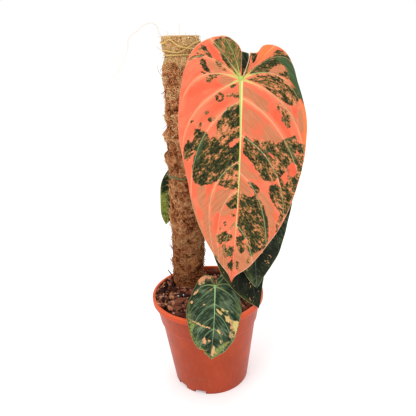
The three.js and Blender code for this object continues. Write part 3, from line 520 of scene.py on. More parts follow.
def make_pot(material):
    corners = [
        (0, FOOT_HEIGHT), (BASE_RADIUS - FOOT_WIDTH, FOOT_HEIGHT), (BASE_RADIUS - FOOT_WIDTH + 0.4, 0),
        (BASE_RADIUS, 0), (BASE_RADIUS + 0.9, FOOT_HEIGHT + 2.5), (WALL_TOP_RADIUS, STEP_HEIGHT - 1.2),
        (COLLAR_LOW_RADIUS, STEP_HEIGHT), (COLLAR_TOP_RADIUS, LIP_BOTTOM - 0.4),
        (RIM_RADIUS - 0.8, LIP_BOTTOM), (RIM_RADIUS, LIP_BOTTOM + 1.2), (RIM_RADIUS, POT_HEIGHT),
        (RIM_RADIUS - 3.2, POT_HEIGHT),
        (RIM_RADIUS - 4.2, LIP_BOTTOM + 1), (COLLAR_LOW_RADIUS - WALL, STEP_HEIGHT + 0.6),
        (WALL_TOP_RADIUS - WALL, STEP_HEIGHT - 1.6), (BASE_RADIUS - 0.7, FLOOR + 1.5),
        (BASE_RADIUS - 2.4, FLOOR), (0, FLOOR),
    ]
    points, faces = lathe(rounded(corners), POT_SEGMENTS)
    pot = add_piece("moulded_pot", points, faces, material, ["pot"])
    cutters = Pile()
    half = NOTCH_WIDTH / 2
    box = [[0, 1, 3, 2], [4, 6, 7, 5], [0, 4, 5, 1], [2, 3, 7, 6], [0, 2, 6, 4], [1, 5, 7, 3]]
    across, ahead, upward = (-half, half), (-BASE_RADIUS - 3, -BASE_RADIUS + 7), (-1, FOOT_HEIGHT)
    corners = np.array([[x, y, z] for x in across for y in ahead for z in upward])
    for degrees in NOTCH_ANGLES:
        cutters.add(corners @ turn_z(math.radians(degrees)), box)
    profile = np.array([(0, -1), (DRAIN_RADIUS, -1), (DRAIN_RADIUS, 9), (0, 9)], float)
    for i in range(DRAIN_HOLES):
        angle = (i + 0.5) / DRAIN_HOLES * TURN
        centre = np.array([DRAIN_CIRCLE * math.cos(angle), DRAIN_CIRCLE * math.sin(angle), 0])
        hole, hole_faces = lathe(profile, 40)
        cutters.add(hole + centre, hole_faces)
    cut(pot, np.concatenate(cutters.points), cutters.faces)
    return pot


# Coir pole
POLE_FOOT = np.array([-20.8, 30.5, 100.0])
POLE_AXIS = np.array([0.0248, 0.009, 1.0]) / np.linalg.norm([0.0248, 0.009, 1.0])
POLE_RADIUS = 17.1
POLE_TOP = 266.0
SLEEVE_BOTTOM = -5.0
NECK_HEIGHT = 248.5
NECK_RADIUS = 15.4
CAP_RADIUS = 18.2
CAP_HEIGHT = 257.0
WIRE_HEIGHT = 128.0
COIR_FOLDS = (
    (196, 172, 4.2), (190, 150, 4.4), (178, 236, 1.6), (215, 118, 1.8), (265, 190, 1.6), (20, 60, 1.6),
    (300, 32, 1.8), (100, 90, 2.4), (60, 160, 2.2), (140, 40, 2.0), (80, 214, 2.0),
)
COIR_LUMPS = ((9, 9, 0.9, 3), (16, 5, 0.5, 5))  # cells around, height of a cell, rise, seed
COIR_TUFTS = ((26, 3.2, 1.0, 31), (54, 1.7, 0.6, 32))  # finer ones, which only show here
FIBRE_SIDES = 3
# Lots of fibres: name, lowest and highest place, count, seed
FIBRE_LOTS = (
    ("coir_fibres_low", SLEEVE_BOTTOM, 130, 5400, 41),
    ("coir_fibres_high", 130, POLE_TOP - 1, 5600, 42),
)


def coir_radius(angle, height, lumps=COIR_LUMPS):
    angle, height = np.broadcast_arrays(np.asarray(angle, float), np.asarray(height, float))
    calm = 1 - np.maximum(bell(height - WIRE_HEIGHT, 5), bell(height - SLEEVE_BOTTOM, 12))
    radius = np.full(angle.shape, POLE_RADIUS)
    for around, along, rise, seed in lumps:
        radius += calm * rise * unevenness(angle / TURN * around, height / along, seed, around)
    for degrees, at, out in COIR_FOLDS:
        turned = np.mod(np.degrees(angle) - degrees + 180, 360) - 180
        radius += out * bell(turned, 22) * np.where(height > at, bell(height - at, 3), bell(height - at, 9))
    spread = smoothstep(height, NECK_HEIGHT + 0.5, CAP_HEIGHT)
    cap = NECK_RADIUS + (CAP_RADIUS - NECK_RADIUS) * spread
    gather = smoothstep(height, NECK_HEIGHT - 9, NECK_HEIGHT - 1)
    return radius * (1 - gather) + cap * gather


def pole_frame():
    across = np.cross([0, 1, 0], POLE_AXIS)
    across /= np.linalg.norm(across)
    return across, np.cross(POLE_AXIS, across)


def on_pole(angle, height, radius):
    across, forward = pole_frame()
    angle, height, radius = (np.asarray(v, float)[..., None] for v in (angle, height, radius))
    return POLE_FOOT + radius * (np.cos(angle) * across + np.sin(angle) * forward) + height * POLE_AXIS


def coir_relief(angle, height):
    """How far the mat stands out, from about -1 in its hollows to 1 on its lumps."""
    full = coir_radius(angle, height, COIR_LUMPS + COIR_TUFTS)
    return np.clip((full - coir_radius(angle, height, ())) / 1.7, -1, 1)


def coir_finish(name, fibres):
    f = Finish(name, roughness=0.95, specular_ior_level=0.06)
    place = f.place()
    height = f.add("ShaderNodeSeparateXYZ", {0: place}, output=2)
    clump = f.noise(place, 3.4, 4, 0.68)
    tuft = f.noise(place, 1.4, 4, 0.7)
    tone = f.number("tone")
    if fibres:
        tone = f.plus(tone, f.scaled(clump, -0.5, 0.5))
        base = f.ramp(tone, (0.02, (92, 46, 26)), (0.24, (188, 110, 66)),
                      (0.48, (244, 160, 104)), (0.80, (255, 214, 156)))
    else:
        tone = f.plus(tone, f.scaled(tuft, -0.6, 0.6))
        base = f.ramp(tone, (0.05, (76, 42, 28)), (0.40, (164, 106, 70)),
                      (0.80, (222, 164, 114)))
    # Paler towards the top of the pole and darker towards its bottom.
    pale = f.times(f.step(height, 330, 348), 0.9)
    upper_colour = f.mix(f.step(tone, 0.0, 0.45), (244, 158, 92), (255, 220, 158))
    base = f.mix(pale, base, upper_colour)
    low = f.times(f.step(height, 215, 120), 0.66)
    lower_colour = f.mix(f.step(tone, 0.15, 0.6), (118, 76, 46), (188, 132, 84))
    base = f.mix(low, base, lower_colour, "MULTIPLY")
    f.bump(tuft, 0.6, 0.8)
    return f.done(base)


def make_coir_mat(material):
    around, levels = 150, 260
    angles = round_turn(around)
    heights = np.linspace(SLEEVE_BOTTOM, POLE_TOP, levels)
    a, h = np.meshgrid(angles, heights)
    radius = coir_radius(a, h, COIR_LUMPS + COIR_TUFTS) - 0.5
    rim = heights[:, None] > POLE_TOP - 1.5
    radius = radius - np.where(rim, 1.2, 0)
    ragged = np.where(rim, 0.6 * unevenness(a / TURN * 18, 0.5 + 0 * a, 11, 18), 0)
    points = on_pole(a, h + ragged, radius).reshape(-1, 3)
    faces = grid_faces(levels, around, closed=True)
    rings = 12
    top = (levels - 1) * around
    caps = [points]
    count = len(points)
    previous = top
    for i in range(1, rings):
        share = 1 - i / rings
        dip = 2 * (1 - share**2) - 0.9 * unevenness(angles * 6, np.full(around, i * 0.9), 13) * share
        ring = on_pole(angles, POLE_TOP + ragged[-1] - dip, radius[-1] * share)
        caps.append(ring)
        for j in range(around):
            side = (j + 1) % around
            faces.append([previous + j, previous + side, count + side, count + j])
        previous = count
        count += around
    caps.append(on_pole([0, 0], [POLE_TOP - 2, SLEEVE_BOTTOM], [0, 0]))
    for j in range(around):
        side = (j + 1) % around
        faces.append([previous + j, previous + side, count])
        faces.append([side, j, count + 1])
    tone = np.full(sum(len(part) for part in caps), 0.6)
    # Painted shade: the mat is coloured darker in its hollows and lighter on its lumps.
    tone[:around * levels] = 0.5 + 0.5 * coir_relief(a, h).ravel()
    points = np.concatenate(caps)
    return add_piece("coir_mat", points, faces, material, ["coir_sleeve"], {"tone": tone})


def fibre_mesh(paths, thickness):
    """Closed thin tubes, one for each path of an array of (fibres, points, 3)."""
    fibres, count = paths.shape[:2]
    tangents = np.gradient(paths, axis=1)
    tangents /= np.linalg.norm(tangents, axis=2)[..., None] + 1e-9
    help_axis = np.where(np.abs(tangents[..., 2:]) < 0.8, [[[0.0, 0.0, 1.0]]], [[[1.0, 0.0, 0.0]]])
    normals = np.cross(tangents, help_axis)
    normals /= np.linalg.norm(normals, axis=2)[..., None]
    binormals = np.cross(tangents, normals)
    taper = np.sin(np.linspace(0.25, math.pi - 0.25, count)) ** 0.5
    reach = (np.reshape(thickness, (-1, 1)) / 2 * taper)[..., None, None]
    angles = round_turn(FIBRE_SIDES)
    cosines, sines = np.cos(angles)[:, None], np.sin(angles)[:, None]
    rings = paths[:, :, None] + reach * (normals[:, :, None] * cosines + binormals[:, :, None] * sines)
    *walls, first, last = tube_faces(count, FIBRE_SIDES)
    starts = np.arange(fibres)[:, None, None] * count * FIBRE_SIDES
    faces = (np.array(walls) + starts).reshape(-1, 4).tolist()
    faces += (np.array([first, last]) + starts).reshape(-1, FIBRE_SIDES).tolist()
    return rings.reshape(-1, 3), faces


def make_coir_fibres(name, low, high, count, seed, material):
    """Fibres that lie in the mat in every direction, some of them standing off it."""
    draw = np.random.default_rng(seed)
    steps = 6
    angle = draw.uniform(0, TURN, count)
    height = draw.uniform(low, high, count)
    heading = draw.uniform(0, TURN, count)
    length = draw.gamma(3.4, 2.7, count).clip(4, 26)
    bend = draw.normal(0, 2.3, count)
    lift = draw.gamma(1.2, 0.42, count).clip(0.05, 2.4) * (1 - 0.4 * smoothstep(height, 228, 240))
    loose = draw.random(count) < 0.045
    rise = np.where(loose, draw.uniform(1.5, 6.5, count), 0)
    t = np.linspace(0, 1, steps)
    turned = heading[:, None] + bend[:, None] * (t - 0.5)
    stride = length[:, None] / (steps - 1)
    along = np.cumsum(np.sin(turned) * stride, 1)
    around = np.cumsum(np.cos(turned) * stride, 1)
    h = np.clip(height[:, None] + along, SLEEVE_BOTTOM + 0.5, POLE_TOP - 0.4)
    a = angle[:, None] + around / POLE_RADIUS
    wobble = 0.1 * np.sin(9 * t[None] + 40 * angle[:, None])
    reach = coir_radius(a, h, COIR_LUMPS + COIR_TUFTS) - 0.35 + lift[:, None] * np.sin(math.pi * t) ** 0.7
    paths = on_pole(a, h, reach + wobble + rise[:, None] * t[None] ** 2)
    points, faces = fibre_mesh(paths, draw.uniform(0.36, 0.74, count))
    # Painted shade and light: fibres are coloured darker in the mat's hollows and close to it, lighter on
    # its lumps and where they stand off it.
    lift_painted_light = (0.16 * (lift[:, None] - 0.5) * np.sin(math.pi * t)).clip(-0.1, 0.3)
    shade = 0.46 + 0.34 * coir_relief(a, h) + lift_painted_light
    shade = shade + draw.normal(0, 0.2, count)[:, None]
    tone = np.repeat(shade.ravel(), FIBRE_SIDES)
    return add_piece(name, points, faces, material, numbers={"tone": tone})


# Soil
SOIL_LEVEL = 97.0
SOIL_EDGE = COLLAR_TOP_RADIUS - WALL - 1.4
HEAP_RISE = 5.8


def soil_height(x, y):
    height = SOIL_LEVEL + 5 * bell(np.hypot(x - POLE_FOOT[0], y - POLE_FOOT[1]), 26)
    for width, rise, seed in ((7, 1.1, 21), (3.6, 1.0, 22)):
        height = height + rise * unevenness(x / width, y / width, seed)
    return height


def heap(x, y):
    """How much the finer soil is heaped against the rim on the left and at the back."""
    turned = np.degrees(np.arctan2(y, x)) % 360
    near_rim = smoothstep(np.hypot(x, y), 43, 50)
    return HEAP_RISE * near_rim * smoothstep(turned, 85, 125) * smoothstep(turned, 240, 212)


def fine_soil_height(x, y):
    height = soil_height(x, y) + heap(x, y)
    for width, rise, seed in ((2.1, 0.8, 23), (1.1, 0.45, 24)):
        height = height + rise * unevenness(x / width, y / width, seed)
    return height


def soil_finish():
    f = Finish("potting_mix", roughness=0.95, specular_ior_level=0.06)
    place = f.place()
    crumbly, broad = f.noise(place, 3.4, 5, 0.75), f.noise(place, 9, 2)
    tone = f.plus(f.times(crumbly, 0.6), f.times(broad, 0.4))
    base = f.ramp(tone, (0.38, (18, 10, 8)), (0.52, (46, 27, 21)), (0.68, (88, 52, 40)))
    f.bump(f.noise(place, 1.2, 4, 0.7), 0.8, 0.8)
    return f.done(base)


def make_soil(material):
    sides, rings = 220, 76
    angles = round_turn(sides)
    reach = (SOIL_EDGE * (np.arange(1, rings + 1) / rings))[:, None]
    x, y = reach * np.cos(angles), reach * np.sin(angles)
    z = fine_soil_height(x, y)
    z[-1] = SOIL_LEVEL - 1.4 + heap(x[-1], y[-1])
    side = ((COLLAR_LOW_RADIUS - WALL - 0.5, STEP_HEIGHT + 1),
            (WALL_TOP_RADIUS - WALL - 0.5, STEP_HEIGHT - 2), (BASE_RADIUS - 2.9, FLOOR + 0.3))
    for radius, height in side:
        x = np.vstack([x, radius * np.cos(angles)])
        y = np.vstack([y, radius * np.sin(angles)])
        z = np.vstack([z, np.full(sides, height)])
    points = np.stack([x, y, z], -1).reshape(-1, 3)
    rows = rings + len(side)
    faces = [[a, d, c, b] for a, b, c, d in grid_faces(rows, sides, closed=True)]
    ends = [[0, 0, fine_soil_height(0.0, 0.0)], [0, 0, FLOOR + 0.3]]
    first, last = len(points), len(points) + 1
    for j in range(sides):
        after = (j + 1) % sides
        faces.append([first, j, after])
        faces.append([last, (rows - 1) * sides + after, (rows - 1) * sides + j])
    points = np.concatenate([points, ends])
    return add_piece("soil_bed", points, faces, material, ["soil"])


def ball(detail):
    """Points and triangles of a unit icosphere."""
    work = bmesh.new()
    bmesh.ops.create_icosphere(work, subdivisions=detail, radius=1)
    points = np.array([v.co for v in work.verts])
    faces = [[v.index for v in face.verts] for face in work.faces]
    work.free()
    return points, faces


BALL_ROUGH, BALL_ROUGH_FACES = ball(1)
BALL_FINE, BALL_FINE_FACES = ball(2)
CRUMBS = 1500
RIM_CRUMBS = 170  # heaped against the rim on the left
SMALL_GRAINS = 150
SOIL_FIBRES = 240
FINE_CRUMB = 2.0  # the size from which a crumb gets the finer ball
STEM_GIRTH = 5


def any_turn(draw):
    q = draw.normal(size=4)
    return np.array(Matrix.Rotation(draw.uniform(0, TURN), 3, Vector(q[:3])))


def crumb(draw, size, flat, fine=False):
    """A broken lump: a ball with its points pushed in and out, cut flat on a few sides."""
    points = (BALL_FINE if fine else BALL_ROUGH).copy()
    points *= 1 + draw.uniform(-0.24, 0.24, len(points))[:, None]
    for _ in range(4):
        way = draw.normal(size=3)
        way /= np.linalg.norm(way)
        over = np.maximum(points @ way - draw.uniform(0.45, 0.8), 0)
        points -= over[:, None] * way
    points *= np.array([1, draw.uniform(0.55, 0.9), flat])
    return points @ any_turn(draw).T * size


def free_spot(draw, clear):
    """A place on the soil that clears the pole, the stem and the rim."""
    while True:
        radius, angle = SOIL_EDGE * math.sqrt(draw.random()), draw.uniform(0, TURN)
        x, y = radius * math.cos(angle), radius * math.sin(angle)
        from_pole = math.hypot(x - POLE_FOOT[0], y - POLE_FOOT[1])
        from_stem = math.hypot(x - STEM_PATH[0][0], y - STEM_PATH[0][1])
        inside = radius < SOIL_EDGE - clear
        if inside and from_pole > POLE_RADIUS + clear and from_stem > STEM_GIRTH + clear:
            return x, y


def make_crumbs(material):
    draw = np.random.default_rng(7)
    pile = Pile()
    for _ in range(CRUMBS):
        size = min(draw.gamma(2.6, 0.62) + 0.55, 4.2)
        x, y = free_spot(draw, size * 0.8)
        centre = np.array([x, y, soil_height(x, y) + heap(x, y) + size * draw.uniform(0.0, 0.45)])
        fine = size > FINE_CRUMB
        faces = BALL_FINE_FACES if fine else BALL_ROUGH_FACES
        points = crumb(draw, size, draw.uniform(0.45, 0.9), fine)
        pile.add(points + centre, faces, tone=draw.beta(0.9, 1.3))
    for _ in range(RIM_CRUMBS):
        size = draw.uniform(0.8, 2.2)
        angle, radius = math.radians(draw.uniform(146, 214)), draw.uniform(50.5, 56.6)
        height = SOIL_LEVEL + 5.6 + 0.9 * smoothstep(radius, 52, 56) + 0.3 * size
        centre = np.array([radius * math.cos(angle), radius * math.sin(angle), height])
        points = crumb(draw, size, draw.uniform(0.5, 0.9))
        pile.add(points + centre, BALL_ROUGH_FACES, tone=draw.beta(0.9, 1.6))
    return pile.piece("soil_crumbs", material, "bark")


# White grains seen in the photograph: pixel and radius
PERLITE = (
    (171, 276.8, 2.4), (184.4, 289.2, 1.6), (180.6, 292.4, 1.3), (183.5, 294.6, 1.5), (165.3, 287, 1.2),
    (159.2, 289.5, 1.1), (170.4, 288.3, 1.1), (208.4, 271.7, 1.8), (172.8, 309.8, 1.4), (243.7, 310.6, 1.2),
    (213.8, 278.5, 1.3), (178.2, 296, 1.3), (186.5, 287.5, 0.9),
)


def perlite_finish():
    f = Finish("perlite", roughness=0.9, specular_ior_level=0.3)
    place = f.place()
    grain = f.noise(place, 0.8, 3, 0.7)
    f.bump(grain, 0.6, 0.3)
    return f.done(f.mix(f.step(grain, 0.35, 0.6), (206, 200, 190), (250, 249, 246)))


def make_perlite(material):
    draw = np.random.default_rng(19)
    pile = Pile()
    for px, py, size in PERLITE:
        x, y, _ = from_pixel(px, py, 2, SOIL_LEVEL + 3)
        centre = np.array([x, y, soil_height(x, y) + 0.9 * size])
        pile.add(crumb(draw, size, 0.8, True) + centre, BALL_FINE_FACES)
    for _ in range(SMALL_GRAINS):
        size = draw.uniform(0.5, 1.25)
        x, y = free_spot(draw, 1.5)
        centre = np.array([x, y, soil_height(x, y) + heap(x, y) + 1.1 * size])
        pile.add(crumb(draw, size, 0.8) + centre, BALL_ROUGH_FACES)
    return pile.piece("perlite_grains", material, "potting_mix")


def make_soil_fibres(material):
    draw = np.random.default_rng(23)
    paths = []
    for _ in range(SOIL_FIBRES):
        x, y = free_spot(draw, 3)
        heading, length = draw.uniform(0, TURN), draw.uniform(4, 14)
        t = np.linspace(0, 1, 6)
        turned = heading + draw.normal(0, 1.2) * t
        px = np.clip(x + np.cumsum(np.cos(turned)) * length / 6, -SOIL_EDGE, SOIL_EDGE)
        py = np.clip(y + np.cumsum(np.sin(turned)) * length / 6, -SOIL_EDGE, SOIL_EDGE)
        inside = np.minimum(1, (SOIL_EDGE - 1.5) / np.maximum(np.hypot(px, py), 1e-6))
        px, py = px * inside, py * inside
        pz = soil_height(px, py) + 1.2 + draw.uniform(0, 1.6) * np.sin(math.pi * t)
        paths.append(np.stack([px, py, pz], -1))
    points, faces = fibre_mesh(np.array(paths), draw.uniform(0.22, 0.45, SOIL_FIBRES))
    tone = np.repeat(draw.random(SOIL_FIBRES), len(points) // SOIL_FIBRES)
    return add_piece("soil_fibres", points, faces, material, numbers={"tone": tone})


# Bark chips: node, place, size, height of the centre, turn, tip, tone
BARK_CHIPS = (
    ("bark_chip_back", (6, 45.5), (15, 7, 13), 3.5, 12, 14, 0.62),
    ("bark_chip_flat", (-26.5, -37.5), (14, 8, 5), 1.6, -4, -18, 0.5),
    ("bark_chip_red", (-31, -13), (11, 8, 6), 2.2, 35, 12, 0.85),
    ("bark_chip_split", (-33, -27), (10, 7, 6), 2.0, -28, 8, 0.75),
    ("bark_chip_rim", (-47, -9), (11, 6, 5), 1.6, 64, 6, 0.7),
    ("bark_chip_side", (26, 42), (12, 7, 6), 1.8, -38, 10, 0.5),
    ("bark_chip_front", (36, -33), (10, 7, 5), 1.2, 40, -10, 0.65),
)


def make_bark_chips(material):
    for seed, (node, (x, y), size, lift, turn, tip, tone) in enumerate(BARK_CHIPS):
        draw = np.random.default_rng(100 + seed)
        points, faces = ball(4)
        block = np.sign(points) * np.abs(points) ** 0.42
        block = block / np.abs(block).max(0)
        shape = block * np.array(size) / 2
        shape[:, 0] *= 1 + 0.16 * unevenness(points[:, 1] * 2.2, points[:, 2] * 2.2, 3 * seed + 1)
        shape[:, 1] *= 1 + 0.2 * unevenness(points[:, 0] * 2.4, points[:, 2] * 2.0, 3 * seed + 2)
        shape[:, 2] *= 1 + 0.24 * unevenness(points[:, 0] * 3.0, points[:, 1] * 2.4, 3 * seed + 3)
        step = 0.32 * np.sign(np.sin(shape[:, 2] * 2.6 + draw.uniform(0, 6)))
        shape[:, :2] += step[:, None] * np.sign(shape[:, :2]) * 0.6
        shape *= 0.93
        turned = shape @ turn_x(math.radians(tip)) @ turn_z(math.radians(turn))
        placed = turned + np.array([x, y, SOIL_LEVEL + lift])
        name = node.replace("bark_chip", "bark")
        add_piece(name, placed, faces, material, [node], {"tone": np.full(len(points), tone)})


# A splinter of pale wood and a dark twig
def make_splinters(wood, bark):
    strip = spline([(-53.5, 11, 101.6), (-47.35, 22.4, 103), (-41.2, 33, 103.4)], 40)
    t = np.linspace(0, 1, 40)[:, None]
    angles = round_turn(14)
    flat = (1 - 0.35 * np.abs(np.cos(angles + 0.6)))[None] * (1 - 0.25 * t**3)
    split = 1 + 0.08 * np.sin(17 * t + 3 * angles)
    points, faces = tube(strip, 1.9 * flat * split, 14)
    add_piece("wood_splinter", points, faces, wood, ["wood_strip"])
    twig = spline([(-39.6, 37.5, 101), (-42.5, 38.4, 107), (-45.5, 38.5, 112)], 24)
    girth = 0.95 * (1 - 0.45 * np.linspace(0, 1, 24)) * (1 + 0.12 * np.sin(np.arange(24) * 1.3))
    points, faces = tube(twig, girth, 10)
    add_piece("twig", points, faces, bark, ["dark_twig"], {"tone": np.full(len(points), 0.15)})


# Ties. A turn of twine: height, rise, the side it rises to, a dip with its place and width, and how
# loose it is
TWINE_TURNS = (
    (NECK_HEIGHT, 0, 0, 0, 0, 1, 0),
    (256.2, 4.6, -20, 6.4, 268, 38, 0),
    (257.4, 3.4, 150, -5, 242, 18, 0.3),
)
TWINE_STRANDS = 3
RING_STEPS = 120
WIRE_RADIUS = 0.7


def twisted(pile, path, radius, pitch):
    """Strands wound round each other along a path."""
    _, normals, binormals = frames_along(path)
    walked = walked_along(path)
    for i in range(TWINE_STRANDS):
        phase = walked / pitch * TURN + i / TWINE_STRANDS * TURN
        off = radius * 0.5 * (np.cos(phase)[:, None] * normals + np.sin(phase)[:, None] * binormals)
        pile.add(*tube(path + off, np.full(len(path), radius * 0.56), 6))


def pole_ring(turn):
    height, rise, high, dip, at, width, out = turn
    angle = np.arange(RING_STEPS + 1) / RING_STEPS * TURN
    z = height + rise * np.cos(angle - math.radians(high)) - dip * bell(np.degrees(angle) - at, width)
    return on_pole(angle, z, coir_radius(angle, z) + 1.1 + out)


def make_twine(material):
    pile = Pile()
    for turn in TWINE_TURNS:
        twisted(pile, pole_ring(turn), 0.72, 4.2)
    across, forward = pole_frame()
    knot = [(17, 3.4, NECK_HEIGHT), (18.6, 3.8, 250.4), (19.6, 4, 252.5), (20, 3, 256), (19.4, 1.6, 260)]
    path = spline([POLE_FOOT + x * across + y * forward + z * POLE_AXIS for x, y, z in knot], 40)
    twisted(pile, path, 1.05, 4.6)
    pile.piece("twisted_twine", material, "twine", ["twine_tie"])


def wire_finish():
    f = Finish("coated_wire", roughness=0.38, specular_ior_level=0.25)
    place = f.place()
    wear = f.noise(place, 2.2, 3)
    f.bump(wear, 0.2, 0.1)
    return f.done(f.mix(f.step(wear, 0.4, 0.7), (78, 112, 66), (112, 140, 84)))


def stem_radius(t):
    radius = STEM_GIRTH * (1 - 0.22 * t)
    for at in NODES.values():
        radius = radius + 0.8 * bell(t - at, 0.014)
    return radius * (1 - smoothstep(t, 0.91, 1) * 0.85)


def make_wire(material):
    centre = POLE_FOOT + WIRE_HEIGHT * POLE_AXIS
    stem_centre = np.array(STEM_PATH[6], float)
    stem_reach = float(stem_radius(0.72))
    points = []
    for angle in round_turn(72):
        outward = np.array([math.cos(angle), math.sin(angle), 0])
        choices = ((centre, float(coir_radius(angle, WIRE_HEIGHT))), (stem_centre, stem_reach))
        middle, reach = max(choices, key=lambda c: c[0] @ outward + c[1])
        point = middle + outward * (reach + 1.35)
        point[2] = centre[2] + 1.2 * math.cos(angle - math.radians(149))
        points.append(point)
    loop = spline(points, 160, closed=True)
    pile = Pile()
    pile.add(*tube(loop, np.full(160, WIRE_RADIUS), 10))
    pile.piece("green_wire", material, "coated_wire", ["wire_tie"])


# Stem and petioles
STEM_PATH = (
    (24, 22, 66), (24, 22, 84), (24, 22, 104), (19.5, 22.5, 132), (11.5, 23.4, 162), (6.4, 23.7, 196),
    (5.6, 23.8, 228), (6.6, 23.6, 260), (8.4, 23, 284),
)
NODES = {"front": 0.2, "low": 0.36, "rear": 0.52, "second": 0.79, "main": 0.87}
STEM_STEPS = 260
STEM_LINE = spline(STEM_PATH, STEM_STEPS)


def on_stem(share):
    at = share * (STEM_STEPS - 1)
    return np.array([np.interp(at, np.arange(STEM_STEPS), STEM_LINE[:, n]) for n in range(3)])


def stem_finish(name, low, high, blush):
    f = Finish(name, roughness=0.5, specular_ior_level=0.18, subsurface_weight=0.06)
    place = f.place()
    streak = f.noise(f.stretch(place, 1, 1, 0.22), 2.0, 4, 0.6)
    base = f.mix(streak, low, high)
    dots = f.step(f.cells(place, 1.9), 0.22, 0.12)
    base = f.mix(f.times(dots, 0.45), base, (196, 190, 140))
    base = f.mix(f.times(f.step(f.noise(place, 12, 2), 0.5, 0.7), 0.55), base, blush)
    f.bump(streak, 0.35, 0.4)
    return f.done(base)


def make_stem(material):
    t = np.linspace(0, 1, STEM_STEPS)
    pile = Pile()
    ridge = 1 + 0.03 * np.sin(5 * round_turn(20))[None] + 0.015 * np.sin(90 * t)[:, None]
    pile.add(*tube(STEM_LINE, stem_radius(t)[:, None] * ridge, 20))
    for at in (NODES["rear"], 0.62, NODES["second"], NODES["main"]):
        start = on_stem(at)
        inward = POLE_FOOT + POLE_AXIS * (start[2] - POLE_FOOT[2]) - start
        inward[2] = 0
        inward /= np.linalg.norm(inward)
        across = np.array([inward[1], -inward[0], 0])
        path = spline([start, start + 6 * across - [0, 0, 2], start + 11 * across - inward - [0, 0, 6]], 24)
        pile.add(*tube(path, 1.3 - 0.6 * np.linspace(0, 1, 24), 8))
    return pile.piece("climbing_stem", material, "stem_skin", ["stem"])


